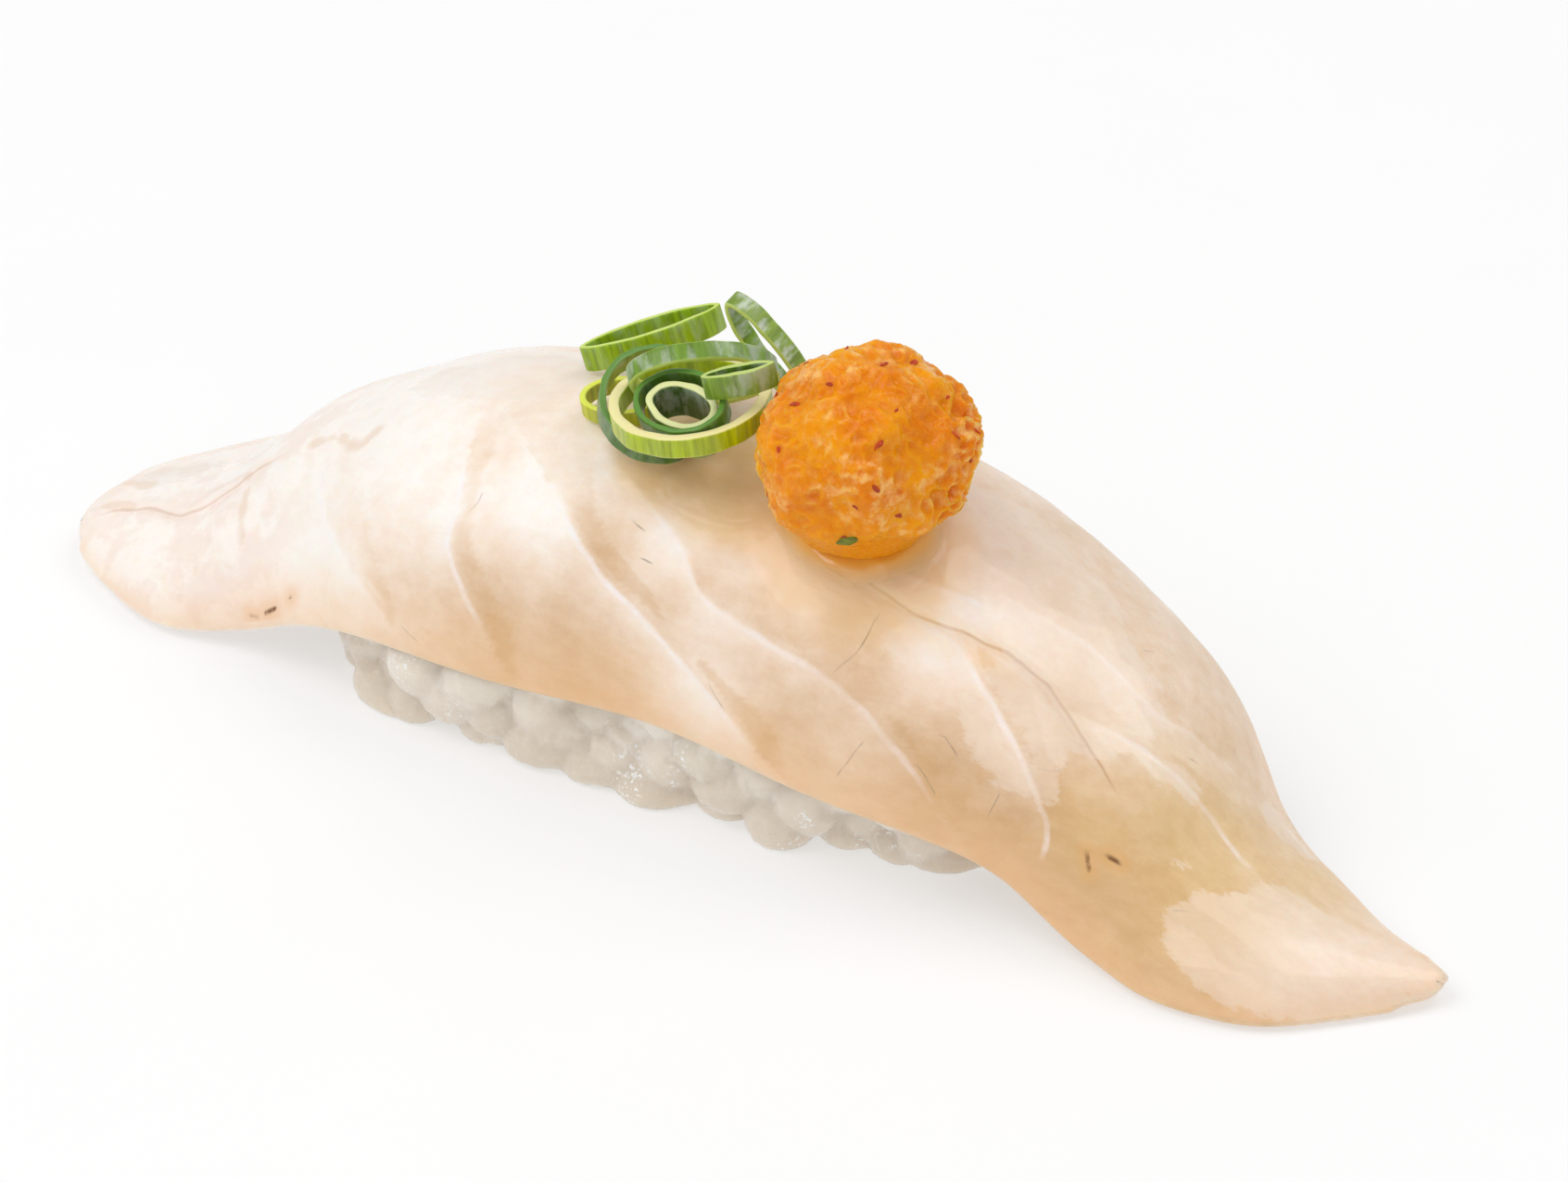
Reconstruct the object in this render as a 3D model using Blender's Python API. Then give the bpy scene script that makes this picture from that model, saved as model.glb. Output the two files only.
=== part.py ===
"""Nigiri sushi: a slice of raw white fish draped over a pressed block of rice, topped with a ball of
spiced grated radish and a small pile of scallion rings.

X runs along the slice, Z is up, and the origin is the middle of the flat face that the rice rests on.
The front of the sushi, where the slice's hem shows best, faces -Y.
"""

import math
import random
from collections import namedtuple

import bmesh
import bpy
import numpy as np
from mathutils import Euler, Matrix, Vector, noise
from mathutils.bvhtree import BVHTree

MM = 0.001
CLEARANCE = 0.35 * MM

# Rice block: an oblong with rounded ends and a flat base.
RICE_LENGTH = 53 * MM
RICE_WIDTH = 26.0 * MM
RICE_HEIGHT = 18.6 * MM
RICE_WAIST_HEIGHT = 4.5 * MM
RICE_UNDERCUT = 14 * MM
RICE_TURN = math.radians(3.5)
PLAN_ROUNDNESS = 3.4
SIDE_ROUNDNESS = 2.3
CORE_SEGMENTS = 30
CORE_RINGS = 14

# Grains of rice pressed into the sides and ends of the block.
GRAIN_LENGTH = 6.6 * MM
GRAIN_WIDTH = 3.3 * MM
GRAIN_SINK = 0.7 * MM
GRAIN_PITCH = 4.1 * MM
GRAIN_ROW_HEIGHTS = tuple(z * MM for z in (1.7, 4.5, 7.4, 10.3))
GRAIN_SEGMENTS = 6
GRAIN_RINGS = 4
GRAIN_FULLNESS = 0.18
GRAIN_FLATNESS = 0.88
GRAIN_SEED = 11
LENGTH_RANGE = (0.88, 1.06)
WIDTH_RANGE = (0.92, 1.1)
SHIFT_RANGE = (-0.006, 0.006)
ROW_OFFSET = 0.01
HEIGHT_RANGE = (-0.6 * MM, 0.6 * MM)
SINK_RANGE = (-0.25 * MM, 0.35 * MM)
SINK_STEP = 0.3 * MM
SINK_TRIES = 5
TILT_RANGE = (-16, 16)
FLAT_SPIN_RANGE = (-40, 40)
STEEP_SPIN_RANGE = (50, 130)
WALL_SAMPLES = 240
WALL_HALVINGS = 30
NORMAL_STEP = 0.002

# The slice of fish, as cross-sections from its left tip to its right tip, in millimetres. Each one is an
# arch from the front hem over the crown to the back hem. Boxiness under 1 squares the arch's shoulders.
Section = namedtuple(
    "Section", "x front_y front_z crown_y crown_z back_y back_z thickness boxiness"
)
SLICE_SECTIONS = (
    Section(-49.4, -6.2, 1.2, -5.2, 2.0, -4.2, 1.6, 1.0, 1.0),
    Section(-48.0, -8.2, 1.2, -4.2, 3.5, -0.8, 2.3, 2.2, 1.0),
    Section(-43.5, -11.0, 0.9, -3.2, 5.3, 4.4, 3.9, 3.4, 1.0),
    Section(-37.0, -13.2, 0.8, -2.2, 8.2, 7.4, 5.6, 4.2, 1.0),
    Section(-31.5, -12.0, 1.8, -0.6, 13.8, 9.8, 7.2, 4.8, 0.97),
    Section(-25.5, -12.8, 4.8, -0.3, 17.1, 11.0, 7.0, 4.6, 1.0),
    Section(-18.0, -14.6, 7.0, 0.3, 20.6, 12.8, 8.8, 4.4, 0.91),
    Section(-9.0, -15.0, 7.4, 0.3, 22.2, 13.8, 10.0, 4.4, 0.84),
    Section(4.0, -14.4, 8.2, 0.3, 22.9, 14.2, 10.2, 4.4, 0.84),
    Section(15.0, -14.6, 7.2, 0.2, 22.2, 13.6, 9.6, 4.4, 0.86),
    Section(23.0, -13.6, 6.2, 0.0, 19.9, 12.8, 8.2, 4.5, 0.93),
    Section(29.5, -12.2, 4.4, -0.8, 17.0, 11.0, 7.2, 4.5, 0.9),
    Section(35.5, -12.6, 1.2, -2.2, 13.2, 8.6, 6.2, 4.2, 0.95),
    Section(42.0, -14.2, 0.6, -4.4, 6.6, 4.0, 2.7, 3.6, 1.0),
    Section(48.0, -13.4, 0.6, -5.2, 4.4, 1.2, 2.0, 3.0, 1.0),
    Section(53.5, -8.8, 0.6, -4.8, 3.2, -1.4, 1.3, 2.2, 1.0),
    Section(57.7, -4.0, 0.6, -3.2, 1.8, -2.4, 1.0, 1.0, 1.0),
)
SLICE_RINGS = 42
TIP_CROWDING = 0.35
TOP_STEPS = 22
UNDER_STEPS = 10
HEM_THICKNESS = 1.3
HEM_SHARE_AT_TIPS = 0.3
LIP_DROP_SHARE = 0.35

# Ball of grated radish, resting on the front of the slice's crown.
BALL_WIDTH = 13.6 * MM
BALL_HEIGHT = 13.6 * MM
BALL_PLACE = Vector((14.6, -5.2, 27.6)) * MM
BALL_DETAIL = 4
LUMP_SIZE = 3.2 * MM
LUMP_HEIGHT = 0.7 * MM
CRUMB_SIZE = 1.3 * MM
CRUMB_HEIGHT = 0.3 * MM

# Scallion rings: place and half-axes in millimetres; lean about the long axis, rise of the long axis
# and turn about Z in degrees. Point over 1 draws the loop out to its two ends.
Ring = namedtuple("Ring", "name place half_axes height wall lean rise turn point")
SCALLION_RINGS = (
    Ring("scallion_tail", (-5.7, -2.9, 23.5), (2.7, 1.9), 1.3, 0.45, 11, 4, 16, 1.0),
    Ring("scallion_under", (-2.4, -3.5, 24.75), (3.9, 4.6), 1.5, 0.45, 17, -11, 26, 1.0),
    Ring("scallion_front", (1.6, -5.6, 26.95), (5.3, 5.5), 1.4, 0.75, -1, 7, 38, 1.0),
    Ring("scallion_heart", (1.8, -6.5, 26.4), (2.5, 1.75), 3.4, 0.5, 25, -6, 3, 1.0),
    Ring("scallion_sleeve", (1.9, -7.0, 27.55), (3.5, 2.65), 1.5, 0.4, 21, 2, -12, 1.0),
    Ring("scallion_leaf", (5.5, -5.75, 30.14), (2.42, 0.75), 1.69, 0.4, -1.2, 11.6, 35, 1.4),
    Ring("scallion_arch", (0.85, -3.0, 27.8), (5.0, 2.65), 1.4, 0.4, -67, -5, 45, 1.0),
    Ring("scallion_long", (-7.7, 3.9, 24.5), (4.9, 1.6), 1.8, 0.4, -11, 15, 42, 1.2),
    Ring("scallion_standing", (2.4, 3.0, 26.9), (4.7, 1.45), 1.45, 0.4, 104, -50, 11, 1.2),
)
RING_SEGMENTS = 24


def smooth_through(places, values, x):
    """The value at x of a smooth curve through the given points, which doesn't overshoot."""
    places, values = np.asarray(places, float), np.asarray(values, float)
    runs = np.diff(places)
    slopes = np.diff(values) / runs
    tangents = np.zeros_like(values)
    tangents[0], tangents[-1] = slopes[0], slopes[-1]
    for i in range(1, len(values) - 1):
        if slopes[i - 1] * slopes[i] > 0:
            near, far = 2 * runs[i] + runs[i - 1], runs[i] + 2 * runs[i - 1]
            tangents[i] = (near + far) / (near / slopes[i - 1] + far / slopes[i])
    i = int(np.clip(np.searchsorted(places, x) - 1, 0, len(runs) - 1))
    t = (x - places[i]) / runs[i]
    return (
        values[i] * (1 + 2 * t) * (1 - t) ** 2
        + values[i + 1] * t * t * (3 - 2 * t)
        + runs[i] * (tangents[i] * t * (1 - t) ** 2 - tangents[i + 1] * t * t * (1 - t))
    )


def section_at(x):
    """The slice's cross-section at x, in millimetres."""
    places, *columns = zip(*SLICE_SECTIONS)
    return Section(x, *[smooth_through(places, column, x) for column in columns])


def arch(section, crown_z, inset, steps):
    """Points (y, z) of an arch from the front hem over crown_z to the back hem, inset from the hems."""
    points = []
    for v in np.linspace(-1, 1, steps + 1):
        if v < 0:
            hem_y, hem_z = section.front_y + inset, section.front_z
        else:
            hem_y, hem_z = section.back_y - inset, section.back_z
        turn = abs(v) * math.pi / 2
        out = math.sin(turn) ** section.boxiness
        rise = math.cos(turn) ** section.boxiness
        points.append(
            (
                section.crown_y + (hem_y - section.crown_y) * out,
                hem_z + (crown_z - hem_z) * rise,
            )
        )
    return points


def slice_ring(x):
    """The closed loop of points of the slice's cross-section at x, in metres."""
    section = section_at(x)
    hem = min(HEM_THICKNESS, HEM_SHARE_AT_TIPS * (section.crown_y - section.front_y))
    top = arch(section, section.crown_z, 0, TOP_STEPS)
    under = arch(section, section.crown_z - section.thickness, hem, UNDER_STEPS)
    lowered = LIP_DROP_SHARE * hem
    back_lip = (section.back_y - hem / 2, section.back_z - lowered)
    front_lip = (section.front_y + hem / 2, section.front_z - lowered)
    loop = [*top, back_lip, *reversed(under), front_lip]
    return [Vector((x, y, z)) * MM for y, z in loop]


def slice_places():
    """The x of each ring of the slice, in millimetres, closer together near the two tips."""
    first, last = SLICE_SECTIONS[0].x, SLICE_SECTIONS[-1].x
    shares = np.linspace(0, 1, SLICE_RINGS)
    eased = (1 - np.cos(shares * math.pi)) / 2
    return first + (last - first) * (shares * (1 - TIP_CROWDING) + eased * TIP_CROWDING)


def finish_mesh(name, bm, material, flat_angle=None):
    """Makes an object of the bmesh, with smooth shading and one material."""
    bmesh.ops.recalc_face_normals(bm, faces=bm.faces)
    mesh = bpy.data.meshes.new(name)
    bm.to_mesh(mesh)
    bm.free()
    mesh.shade_smooth()
    if flat_angle is not None:
        mesh.set_sharp_from_angle(angle=math.radians(flat_angle))
    mesh.materials.append(material)
    obj = bpy.data.objects.new(name, mesh)
    bpy.context.scene.collection.objects.link(obj)
    return obj


def make_material(name, color, roughness):
    material = bpy.data.materials.new(name)
    material.use_nodes = True
    shader = material.node_tree.nodes["Principled BSDF"]
    shader.inputs["Base Color"].default_value = (*color, 1)
    shader.inputs["Roughness"].default_value = roughness
    shader.inputs["Metallic"].default_value = 0
    return material


def loft(bm, rings):
    """Skins closed loops of equal length, and closes the two ends with a fan of triangles."""
    loops = [[bm.verts.new(point) for point in ring] for ring in rings]
    count = len(loops[0])
    for near, far in zip(loops, loops[1:]):
        for i in range(count):
            j = (i + 1) % count
            bm.faces.new((near[i], near[j], far[j], far[i]))
    for end in (loops[0], loops[-1]):
        middle = bm.verts.new(sum((vert.co for vert in end), Vector()) / count)
        for i in range(count):
            bm.faces.new((end[i], end[(i + 1) % count], middle))


def make_slice(material):
    bm = bmesh.new()
    loft(bm, [slice_ring(x) for x in slice_places()])
    return finish_mesh("fish_slice", bm, material)


def rice_point(direction, inset=0.0):
    """The point of the rice block's surface in the given direction from the middle of its waist."""
    above = direction.z > 0
    reach = Vector((RICE_LENGTH / 2, RICE_WIDTH / 2, RICE_HEIGHT - RICE_WAIST_HEIGHT))
    if not above:
        reach.z = RICE_UNDERCUT
    shares = [abs(direction[i] / (reach[i] - inset)) for i in range(3)]
    plan = (shares[0] ** PLAN_ROUNDNESS + shares[1] ** PLAN_ROUNDNESS) ** (1 / PLAN_ROUNDNESS)
    total = plan**SIDE_ROUNDNESS + shares[2] ** SIDE_ROUNDNESS
    point = direction * total ** (-1 / SIDE_ROUNDNESS)
    point.z += RICE_WAIST_HEIGHT
    return point


def make_core(material):
    """The rice block's body, cut flat where it stands."""
    bm = bmesh.new()
    bmesh.ops.create_uvsphere(bm, u_segments=CORE_SEGMENTS, v_segments=CORE_RINGS, radius=1)
    for vert in bm.verts:
        vert.co = rice_point(vert.co.copy(), GRAIN_SINK)
    everything = [*bm.verts, *bm.edges, *bm.faces]
    cut = bmesh.ops.bisect_plane(
        bm, geom=everything, plane_co=(0, 0, 0), plane_no=(0, 0, -1), clear_outer=True
    )
    rim = [item for item in cut["geom_cut"] if isinstance(item, bmesh.types.BMEdge)]
    bmesh.ops.holes_fill(bm, edges=rim)
    return finish_mesh("rice", bm, material)


def grain_mesh(length, width):
    """A short-grain rice grain along X: an egg-like oblong, a little flat."""
    bm = bmesh.new()
    bmesh.ops.create_uvsphere(
        bm, u_segments=GRAIN_SEGMENTS, v_segments=GRAIN_RINGS, radius=0.5
    )
    bmesh.ops.rotate(bm, verts=bm.verts, matrix=Matrix.Rotation(math.pi / 2, 3, "Y"))
    for vert in bm.verts:
        fullness = width * (1 + GRAIN_FULLNESS * math.cos(2 * math.pi * vert.co.x))
        vert.co = Vector(
            (vert.co.x * length, vert.co.y * fullness, vert.co.z * fullness * GRAIN_FLATNESS)
        )
    mesh = bpy.data.meshes.new("grain")
    bm.to_mesh(mesh)
    bm.free()
    return mesh


def rice_wall_at(share, height):
    """(point, outward normal) on the rice block's side at a share of the way round it and a height."""
    around = 2 * math.pi * share
    side = Vector((math.cos(around) * RICE_LENGTH, math.sin(around) * RICE_WIDTH, 0)).normalized()
    low, high = -math.pi / 2, math.pi / 2
    for _ in range(WALL_HALVINGS):
        lift = (low + high) / 2
        point = rice_point(side * math.cos(lift) + Vector((0, 0, math.sin(lift))))
        if point.z < height:
            low = lift
        else:
            high = lift
    here = side * math.cos(lift) + Vector((0, 0, math.sin(lift)))
    higher = lift + NORMAL_STEP
    rising = side * math.cos(higher) + Vector((0, 0, math.sin(higher)))
    beside = rice_point(here + Vector((-side.y, side.x, 0)) * NORMAL_STEP) - point
    above = rice_point(rising) - point
    return point, beside.cross(above).normalized()


def even_shares(height, pitch):
    """Shares of the way round the rice block at this height, a pitch apart along its wall."""
    shares = np.linspace(0, 1, WALL_SAMPLES + 1)
    fine = [rice_wall_at(share, height)[0] for share in shares]
    lengths = np.cumsum([0] + [(b - a).length for a, b in zip(fine, fine[1:])])
    count = round(lengths[-1] / pitch)
    return np.interp(np.arange(count) * lengths[-1] / count, lengths, shares)


def clear_of(tree, mesh, matrix, gap):
    """Whether every vertex of the mesh, placed by the matrix, is inside the arch of tree by this gap."""
    for vert in mesh.vertices:
        point = matrix @ vert.co
        nearest, normal, _, distance = tree.find_nearest(point)
        if distance < gap or (point - nearest).dot(normal) < 0:
            return False
    return True


def place_grains(tree):
    """The meshes and matrices of the grains that show, each clear of the slice."""
    draw = random.Random(GRAIN_SEED)
    turn = Matrix.Rotation(RICE_TURN, 4, "Z")
    placed = []
    for row, height in enumerate(GRAIN_ROW_HEIGHTS):
        for share in even_shares(height, GRAIN_PITCH):
            length = GRAIN_LENGTH * draw.uniform(*LENGTH_RANGE)
            width = GRAIN_WIDTH * draw.uniform(*WIDTH_RANGE)
            shift = draw.uniform(*SHIFT_RANGE) + ROW_OFFSET * (row % 2)
            point, normal = rice_wall_at((share + shift) % 1, height + draw.uniform(*HEIGHT_RANGE))
            along = Vector((0, 0, 1)).cross(normal).normalized()
            up = normal.cross(along)
            flat_spins = [draw.uniform(*FLAT_SPIN_RANGE) for _ in range(2)]
            spin = draw.choice((*flat_spins, draw.uniform(*STEEP_SPIN_RANGE)))
            basis = Matrix((along, up, normal)).transposed().to_4x4()
            lean = Euler((0, math.radians(draw.uniform(*TILT_RANGE)), math.radians(spin)))
            sink = GRAIN_SINK + draw.uniform(*SINK_RANGE)
            mesh = grain_mesh(length, width)
            for extra in range(SINK_TRIES):
                middle = point - normal * (sink + extra * SINK_STEP)
                matrix = turn @ Matrix.Translation(middle) @ basis @ lean.to_matrix().to_4x4()
                if clear_of(tree, mesh, matrix, CLEARANCE):
                    placed.append((mesh, matrix))
                    break
    return placed


def apply_boolean(obj, operation, solver="EXACT", **target):
    modifier = obj.modifiers.new(operation.lower(), "BOOLEAN")
    modifier.operation = operation
    modifier.solver = solver
    for key, value in target.items():
        setattr(modifier, key, value)
    graph = bpy.context.evaluated_depsgraph_get()
    joined = bpy.data.meshes.new_from_object(obj.evaluated_get(graph))
    obj.modifiers.clear()
    obj.data = joined


def keep_outer_shell(mesh):
    """Drops loose scraps and fills sealed hollows: only the largest connected surface stays."""
    bm = bmesh.new()
    bm.from_mesh(mesh)
    unseen = set(bm.verts)
    shells = []
    while unseen:
        shell = {unseen.pop()}
        front = list(shell)
        while front:
            vert = front.pop()
            for edge in vert.link_edges:
                other = edge.other_vert(vert)
                if other in unseen:
                    unseen.remove(other)
                    shell.add(other)
                    front.append(other)
        shells.append(shell)
    largest = max(shells, key=len)
    spare = [vert for vert in bm.verts if vert not in largest]
    bmesh.ops.delete(bm, geom=spare, context="VERTS")
    bm.to_mesh(mesh)
    bm.free()


def make_floor_cutter():
    """A slab whose top is the plane that the rice stands on."""
    bpy.ops.mesh.primitive_cube_add(size=1, location=(0, 0, -RICE_HEIGHT / 2))
    cutter = bpy.context.object
    cutter.scale = (2 * RICE_LENGTH, 2 * RICE_WIDTH, RICE_HEIGHT)
    cutter.hide_render = True
    cutter.display_type = "WIRE"
    bpy.context.view_layer.update()
    return cutter


def make_rice(tree, material):
    """The core with its grains fused on, cut flush with what it stands on."""
    rice = make_core(material)
    rice.rotation_euler.z = RICE_TURN
    grains = bpy.data.collections.new("grains")
    bpy.context.scene.collection.children.link(grains)
    for i, (mesh, matrix) in enumerate(place_grains(tree)):
        grain = bpy.data.objects.new(f"grain_{i:03d}", mesh)
        grain.matrix_world = matrix
        grains.objects.link(grain)
    apply_boolean(rice, "UNION", operand_type="COLLECTION", collection=grains)
    for grain in list(grains.objects):
        bpy.data.meshes.remove(grain.data)
    bpy.data.collections.remove(grains)
    below = make_floor_cutter()
    apply_boolean(rice, "DIFFERENCE", object=below)
    bpy.data.objects.remove(below)
    keep_outer_shell(rice.data)
    return rice


def slice_top_under(point, tree):
    """Height of the slice's top surface at the point's X and Y, or None beside the slice."""
    hit, *_ = tree.ray_cast(Vector((point.x, point.y, 1)), Vector((0, 0, -1)))
    return None if hit is None else hit.z


def make_ball(tree, material):
    """A lumpy ball whose underside follows the slice that it rests on."""
    bm = bmesh.new()
    bmesh.ops.create_icosphere(bm, subdivisions=BALL_DETAIL, radius=1)
    reach = Vector((BALL_WIDTH, BALL_WIDTH, BALL_HEIGHT)) / 2
    for vert in bm.verts:
        out = vert.co.normalized()
        point = Vector(out * reach)
        lumps = noise.noise(point / LUMP_SIZE) * LUMP_HEIGHT
        crumbs = noise.noise(point / CRUMB_SIZE + Vector((7, 3, 1))) * CRUMB_HEIGHT
        vert.co = BALL_PLACE + point + out * (lumps + crumbs)
        floor = slice_top_under(vert.co, tree)
        if floor is not None:
            vert.co.z = max(vert.co.z, floor + CLEARANCE)
    return finish_mesh("radish_ball", bm, material)


def make_scallion(ring, material):
    """A band cut across a hollow leaf: a closed loop with an upright wall."""
    bm = bmesh.new()
    half_long, half_short = ring.half_axes
    loops = []
    for inset, z in ((0, -1), (0, 1), (ring.wall, 1), (ring.wall, -1)):
        loop = []
        for i in range(RING_SEGMENTS):
            t = 2 * math.pi * i / RING_SEGMENTS
            side = math.copysign(abs(math.sin(t)) ** ring.point, math.sin(t))
            x, y = (half_long - inset) * math.cos(t), (half_short - inset) * side
            loop.append(bm.verts.new(Vector((x, y, z * ring.height / 2)) * MM))
        loops.append(loop)
    for near, far in zip(loops, loops[1:] + loops[:1]):
        for i in range(RING_SEGMENTS):
            j = (i + 1) % RING_SEGMENTS
            bm.faces.new((near[i], near[j], far[j], far[i]))
    obj = finish_mesh(ring.name, bm, material, flat_angle=40)
    obj.location = Vector(ring.place) * MM
    obj.rotation_euler = (math.radians(ring.lean), -math.radians(ring.rise), math.radians(ring.turn))
    return obj


def main():
    for obj in list(bpy.data.objects):
        bpy.data.objects.remove(obj)
    fish = make_material("fish", (0.86, 0.72, 0.58), 0.25)
    rice = make_material("rice", (0.80, 0.79, 0.75), 0.4)
    radish = make_material("radish", (0.85, 0.38, 0.04), 0.35)
    scallion = make_material("scallion", (0.28, 0.48, 0.06), 0.4)
    fish_object = make_slice(fish)
    tree = BVHTree.FromObject(fish_object, bpy.context.evaluated_depsgraph_get())
    make_rice(tree, rice)
    make_ball(tree, radish)
    for ring in SCALLION_RINGS:
        make_scallion(ring, scallion)


main()
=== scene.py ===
# Nigiri sushi of raw white fish, with grated radish and scallion rings, dressed over its CAD solids
import math
import random

import bpy
import numpy as np
from mathutils import Euler, Matrix, Vector, noise
from mathutils.bvhtree import BVHTree
from mathutils.kdtree import KDTree


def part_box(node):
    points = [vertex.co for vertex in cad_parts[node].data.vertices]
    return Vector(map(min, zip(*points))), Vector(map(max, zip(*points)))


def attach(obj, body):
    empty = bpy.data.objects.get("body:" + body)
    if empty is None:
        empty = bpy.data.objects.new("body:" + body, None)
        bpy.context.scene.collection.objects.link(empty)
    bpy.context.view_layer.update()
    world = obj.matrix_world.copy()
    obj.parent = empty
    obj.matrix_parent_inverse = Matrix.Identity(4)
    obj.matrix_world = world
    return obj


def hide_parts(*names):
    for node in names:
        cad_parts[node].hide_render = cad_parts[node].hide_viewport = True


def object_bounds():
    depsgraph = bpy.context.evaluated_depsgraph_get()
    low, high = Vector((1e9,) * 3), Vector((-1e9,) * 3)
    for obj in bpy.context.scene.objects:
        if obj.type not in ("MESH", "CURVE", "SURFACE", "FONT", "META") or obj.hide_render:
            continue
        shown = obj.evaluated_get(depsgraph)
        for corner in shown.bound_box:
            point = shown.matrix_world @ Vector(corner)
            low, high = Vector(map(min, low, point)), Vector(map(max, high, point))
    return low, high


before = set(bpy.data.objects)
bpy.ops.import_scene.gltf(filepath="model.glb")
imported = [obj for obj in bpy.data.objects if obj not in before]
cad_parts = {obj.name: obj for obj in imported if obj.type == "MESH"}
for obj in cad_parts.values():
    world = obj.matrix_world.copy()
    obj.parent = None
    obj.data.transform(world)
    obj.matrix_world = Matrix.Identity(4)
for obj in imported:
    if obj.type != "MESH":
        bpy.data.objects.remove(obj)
cadBox = [list(corner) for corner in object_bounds()]
mm = 0.001
print("frame loaded:", len(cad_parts), "nodes")


# Small tools for meshes

def selectNone():
    bpy.ops.object.select_all(action="DESELECT")


def activate(piece):
    selectNone()
    piece.select_set(True)
    bpy.context.view_layer.objects.active = piece


# Puts the selected object's place, turn and scale in its mesh.
def applyPlace():
    bpy.ops.object.transform_apply(location=True, rotation=True, scale=True)


def enterEdit():
    bpy.ops.object.mode_set(mode="EDIT")
    bpy.ops.mesh.select_all(action="SELECT")


def leaveEdit():
    bpy.ops.object.mode_set(mode="OBJECT")


# Vertex places in millimetres.
def pointsOf(piece):
    points = np.empty(len(piece.data.vertices) * 3)
    piece.data.vertices.foreach_get("co", points)
    return points.reshape(-1, 3) / mm


def normalsOf(piece):
    normals = np.empty(len(piece.data.vertices) * 3)
    piece.data.vertices.foreach_get("normal", normals)
    return normals.reshape(-1, 3)


def insideBox(points):
    low, high = np.array(cadBox) / mm
    return np.clip(points, low, high)


def moveTo(piece, points):
    piece.data.vertices.foreach_set("co", (np.asarray(points) * mm).ravel())
    piece.data.update()


# Keeps one number for each vertex, or one vector where values has three columns.
def store(piece, name, values):
    values = np.asarray(values, float)
    kind = "FLOAT_VECTOR" if values.ndim == 2 else "FLOAT"
    layer = piece.data.attributes.new(name, kind, "POINT")
    layer.data.foreach_set("vector" if values.ndim == 2 else "value", values.ravel())


def applyModifier(piece, kind, **settings):
    activate(piece)
    modifier = piece.modifiers.new(kind.lower(), kind)
    for key, value in settings.items():
        setattr(modifier, key, value)
    bpy.ops.object.modifier_apply(modifier=modifier.name)


# A merged, subdivided copy of a CAD node's mesh, for a piece that stands in for the node.
def copyNode(node, name, levels):
    piece = bpy.data.objects.new(name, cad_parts[node].data.copy())
    bpy.context.scene.collection.objects.link(piece)
    activate(piece)
    bpy.ops.mesh.customdata_custom_splitnormals_clear()
    enterEdit()
    bpy.ops.mesh.remove_doubles(threshold=0.001 * mm)
    bpy.ops.mesh.tris_convert_to_quads(face_threshold=1.2, shape_threshold=1.2)
    leaveEdit()
    if levels:
        applyModifier(piece, "SUBSURF", levels=levels, render_levels=levels)
    bpy.ops.object.shade_smooth()
    return piece


def joinPieces(parts, name):
    selectNone()
    for part in parts:
        part.select_set(True)
    bpy.context.view_layer.objects.active = parts[0]
    bpy.ops.object.join()
    parts[0].name = name
    return parts[0]


def finishPiece(piece, material, slot, *nodes):
    piece.data.materials.clear()
    piece.data.materials.append(material)
    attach(piece, "root")
    if nodes:
        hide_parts(*nodes)
    print(piece.name, len(piece.data.polygons), "faces")


# Soft noise from -1 to 1 at points in millimetres, with features of about this size.
def noiseAt(points, size, shift=0.0):
    scaled = points / size + shift
    return np.array([noise.noise(Vector(point)) for point in scaled])


def smoothStep(low, high, values):
    share = np.clip((values - low) / (high - low), 0, 1)
    return share * share * (3 - 2 * share)


def treeOf(piece):
    return BVHTree.FromObject(piece, bpy.context.evaluated_depsgraph_get())


# Shader helpers and the effects that materials share

# A linear colour from its 0 to 255 display values.
def paint(red, green, blue):
    shares = [value / 255 for value in (red, green, blue)]
    return tuple(v / 12.92 if v <= 0.04045 else ((v + 0.055) / 1.055) ** 2.4 for v in shares) + (1.0,)


def addNode(tree, kind, inputs=None, **settings):
    made = tree.nodes.new(kind)
    for key, value in settings.items():
        setattr(made, key, value)
    for key, value in (inputs or {}).items():
        if isinstance(value, bpy.types.NodeSocket):
            tree.links.new(value, made.inputs[key])
        else:
            made.inputs[key].default_value = value
    return made


def calculate(tree, operation, first, second=0.0):
    return addNode(tree, "ShaderNodeMath", {0: first, 1: second}, operation=operation).outputs[0]


def multiply(tree, first, second):
    return calculate(tree, "MULTIPLY", first, second)


def add(tree, first, second):
    return calculate(tree, "ADD", first, second)


def mixColor(tree, factor, first, second, blend="MIX"):
    inputs = {0: factor, 6: first, 7: second}
    return addNode(tree, "ShaderNodeMix", inputs, data_type="RGBA", blend_type=blend).outputs[2]


# Lays (mask, display colour) coats one over the other.
def layered(tree, color, *coats):
    for mask, tint in coats:
        color = mixColor(tree, mask, color, paint(*tint))
    return color


def readAttribute(tree, name, output="Fac"):
    return addNode(tree, "ShaderNodeAttribute", attribute_name=name).outputs[output]


def noiseTexture(tree, vector, scale, detail=2.0, roughness=0.5, distortion=0.0):
    inputs = {
        "Vector": vector, "Scale": scale, "Detail": detail, "Roughness": roughness, "Distortion": distortion,
    }
    return addNode(tree, "ShaderNodeTexNoise", inputs).outputs[0]


def mapRange(tree, value, fromMin, fromMax, toMin=0.0, toMax=1.0, kind="LINEAR"):
    inputs = {"Value": value, "From Min": fromMin, "From Max": fromMax, "To Min": toMin, "To Max": toMax}
    return addNode(tree, "ShaderNodeMapRange", inputs, interpolation_type=kind).outputs[0]


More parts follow.
